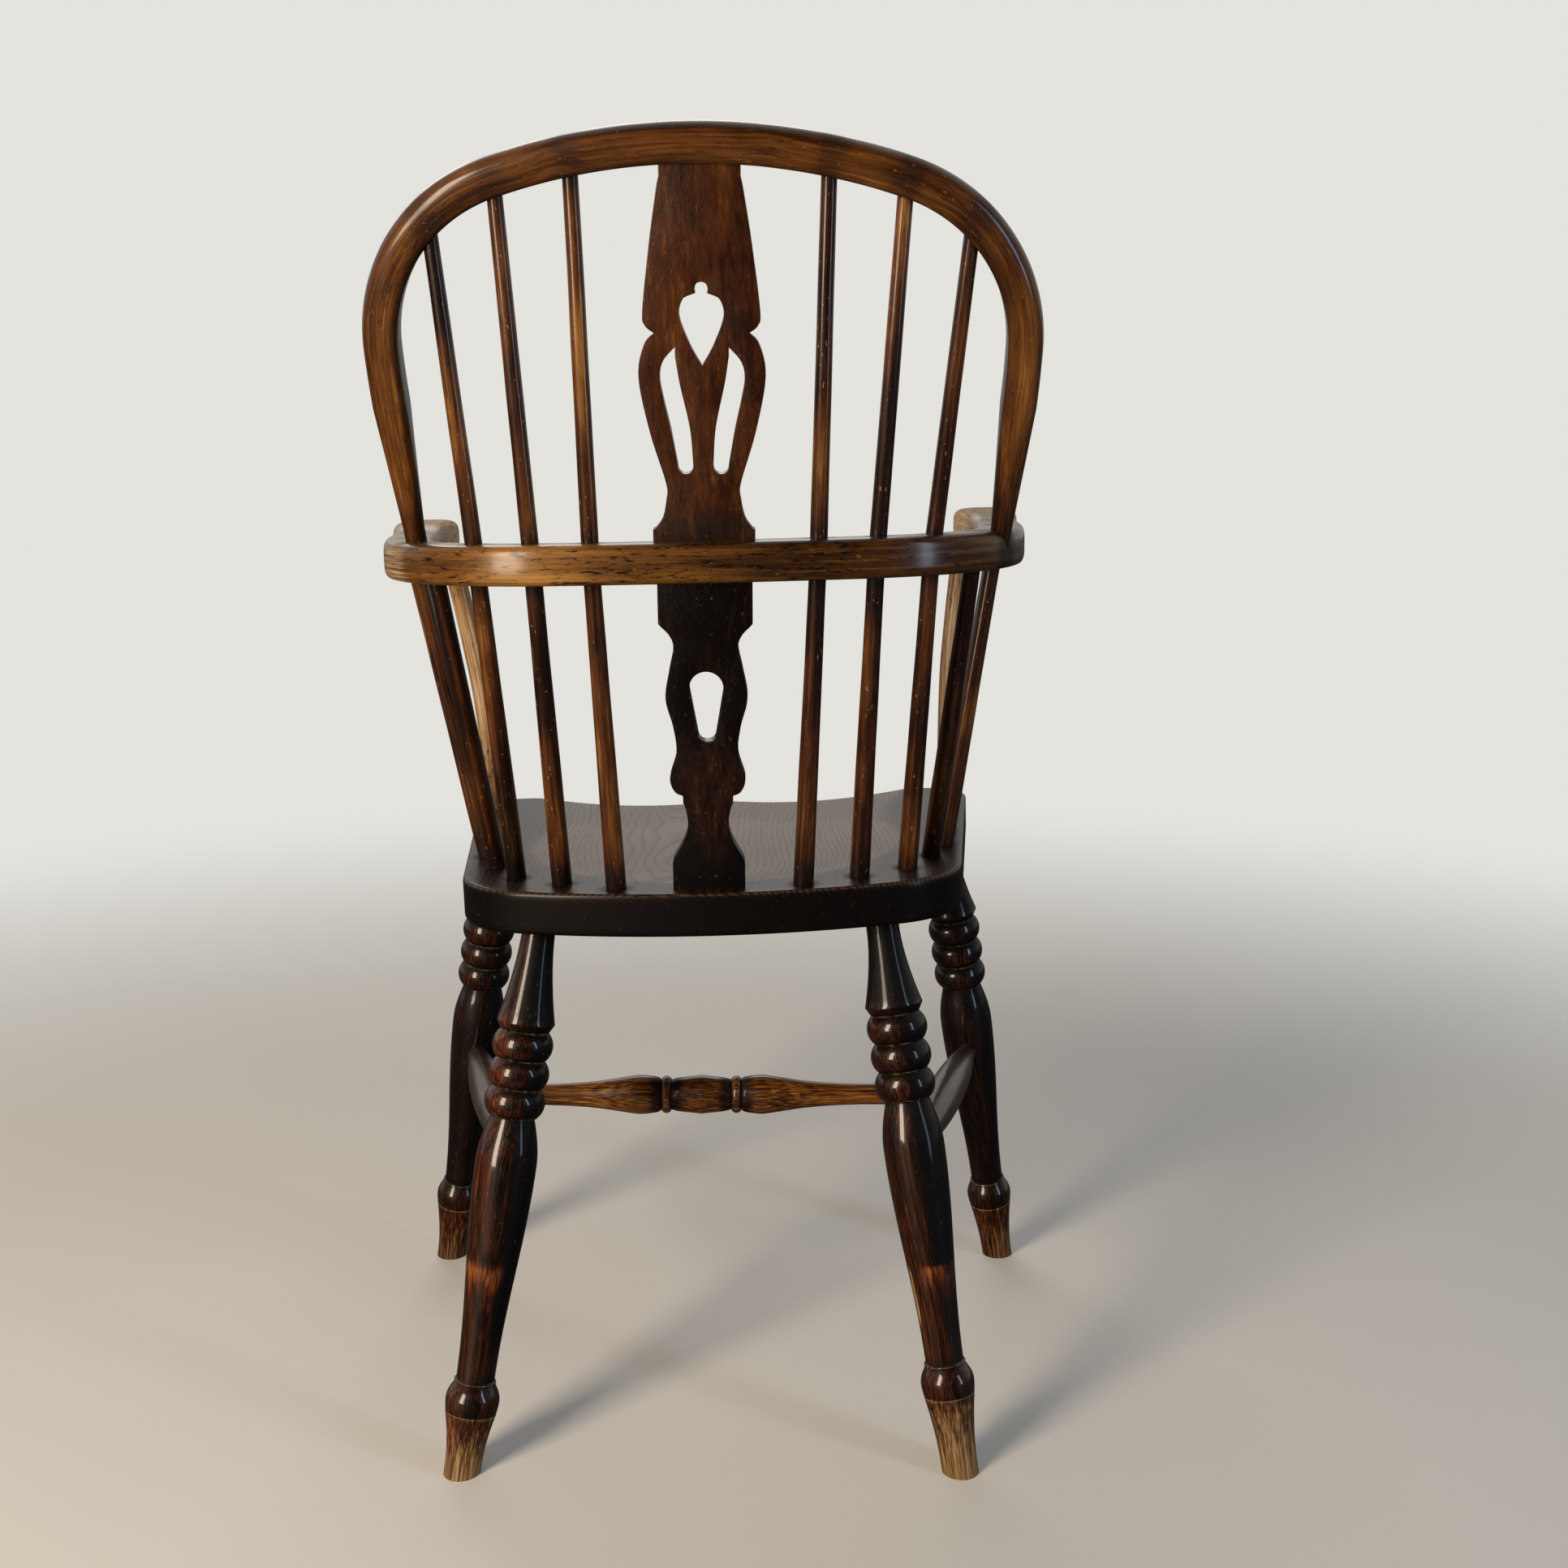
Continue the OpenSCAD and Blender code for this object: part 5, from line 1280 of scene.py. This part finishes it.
def makeArmBow():
    s, w = armShape, armWearAndLight
    half, handY, tipY = armLine()
    whole = [Vector((-p.x, p.y)) for p in reversed(half)] + half[1:]
    stations = []
    for number, place in enumerate(whole):
        before, after = whole[max(0, number - 1)], whole[min(len(whole) - 1, number + 1)]
        way = (after - before).normalized()
        if place.y < tipY + 0.001:
            way = Vector((0, -1 if place.x > 0 else 1))
        out = Vector((way.y, -way.x)) * -1
        if place.y > handY:
            width = s["width"]
        elif place.y >= tipY:
            width = mix(s["width"], s["handWidth"], ease((handY - place.y) / (handY - tipY)))
        else:
            radius = s["handWidth"] / 2
            width = 2 * math.sqrt(max(radius ** 2 - (tipY - place.y) ** 2, (0.05 * radius) ** 2))
        rise = ease((handY - place.y) / s["handRise"])
        height = mix(s["thickness"], s["handThickness"], rise)
        tipShare = ease((tipY - place.y) / (s["handWidth"] / 2))
        frameOf = Matrix(((out.x, out.y, 0), (0, 0, 1), (way.x, way.y, 0))).transposed().to_4x4()
        frameOf.translation = Vector((place.x, place.y + s["backY"], s["underside"] + height / 2))
        stations.append((armTurn @ frameOf, armSection(width, height, tipShare, number)))
    shift = Vector(s["grainShift"])
    bm = sweptPiece(stations, s["segments"], shift)
    grain = bm.verts.layers.float_vector["grain"]

    def crest(vert):  # corners are rubbed; a painted highlight glows on the left of the back and painted shade darkens its right
        a, b = (vert[grain] - shift)[:2]
        corner = w["crest"] * abs(a * b) / (s["width"] * s["thickness"] / 4)
        glow = math.exp(-((vert.co.x - w["glowAt"]) / w["glowReach"]) ** 2)
        shade = ease((w["shadeFrom"] - vert.co.x) / w["shadeFade"])
        return corner - w["dark"] + w["glow"] * glow - w["shade"] * shade

    def bareness(vert):  # the hands are bare, the arms and the left shoulder half so
        back = vert.co.y - s["backY"]
        hand = ease((w["handFrom"] - back) / w["handFade"])
        arm = w["arm"] * ease((w["armFrom"] - back) / w["armFade"])
        shoulder = w["shoulder"] * ease((vert.co.x - w["shoulderX"]) / w["shoulderFade"])
        shoulder *= ease((w["shoulderY"] - back) / w["shoulderFade"])
        return max(hand, arm, shoulder)

    mark(bm, "wearAndLight", crest)
    mark(bm, "worn", bareness)
    mark(bm, "dirtAndShade", lambda vert: w["dirtAndShade"] * ease(nearHoles(vert.co, armHoles, w["dirtReach"], True)))
    bmesh.ops.transform(bm, matrix=stand, verts=bm.verts)
    finishPiece(bm, "arm_bow", "rail", s["sharp"])


def armSection(width, height, tipShare, number):
    def section(turn):
        c, d = math.cos(turn), math.sin(turn)
        power = mix(armShape["square"], armShape["handSquare"], tipShare)
        across = math.copysign(abs(c) ** power, c)
        up = math.copysign(abs(d) ** (power if d > 0 else power * armShape["underSquare"]), d)
        dent = 1 - armShape["dent"] * max(0, noise.noise(Vector((across, up, number * 0.08))))
        shrink = 1 - armShape["tipShrink"] * tipShare ** 3
        return across * width / 2 * dent, up * height / 2 * shrink
    return section


makeArmBow()
print("arm bow made")


# Splats: the frame's own boards with their sharp edges rubbed round
splatShape = {
    "edge": 0.0013, "sharp": 50, "smooth": 30, "merge": 1e-5, "flat": 0.5, "streakScale": (40, 5),
    "middleHalf": 0.016, "dirtFrom": 0.011, "dirtReach": 0.03,
}
splats = {
    "upper_splat": {"shift": (0.045, 0.03, 30), "finish": "splat", "rubbed": 0.36, "middleOnly": False},
    "lower_splat": {"shift": (0.03, 0.05, 33), "finish": "darkSplat", "rubbed": 0.29, "middleOnly": True},
}


def makeSplat(name, board):
    s = splatShape
    bm = newMesh()
    bm.from_mesh(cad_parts[name].data)
    bmesh.ops.remove_doubles(bm, verts=bm.verts, dist=s["merge"])
    bmesh.ops.dissolve_limit(bm, angle_limit=math.radians(s["flat"]), verts=bm.verts, edges=bm.edges)
    sharp = math.radians(s["sharp"])
    arris = [e for e in bm.edges if len(e.link_faces) == 2 and e.calc_face_angle() > sharp]
    bmesh.ops.bevel(bm, geom=arris, offset=s["edge"], segments=3, profile=0.5, affect="EDGES",
                    material=-1, clamp_overlap=True)
    bmesh.ops.triangulate(bm, faces=[f for f in bm.faces if len(f.verts) > 4])
    setGrain(bm, board["shift"])
    low = min(v.co.z for v in bm.verts)
    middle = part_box(name)[0].lerp(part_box(name)[1], 0.5).x

    across, along = s["streakScale"]

    def bareness(vert):
        place = Vector((vert.co.x * across, 0, vert.co.z * along + board["shift"][2]))
        streaks = ease(noise.noise(place) * 1.6)
        if board["middleOnly"]:
            streaks *= math.exp(-((vert.co.x - middle) / s["middleHalf"]) ** 2)
        return board["rubbed"] * streaks

    mark(bm, "worn", bareness)
    mark(bm, "dirtAndShade", lambda vert: ease(1 - (vert.co.z - low - s["dirtFrom"]) / s["dirtReach"]))
    finishPiece(bm, name, board["finish"], s["smooth"])


for name, board in splats.items():
    makeSplat(name, board)
print("splats made")

makeStudio()
makeCamera()
print("chair done")
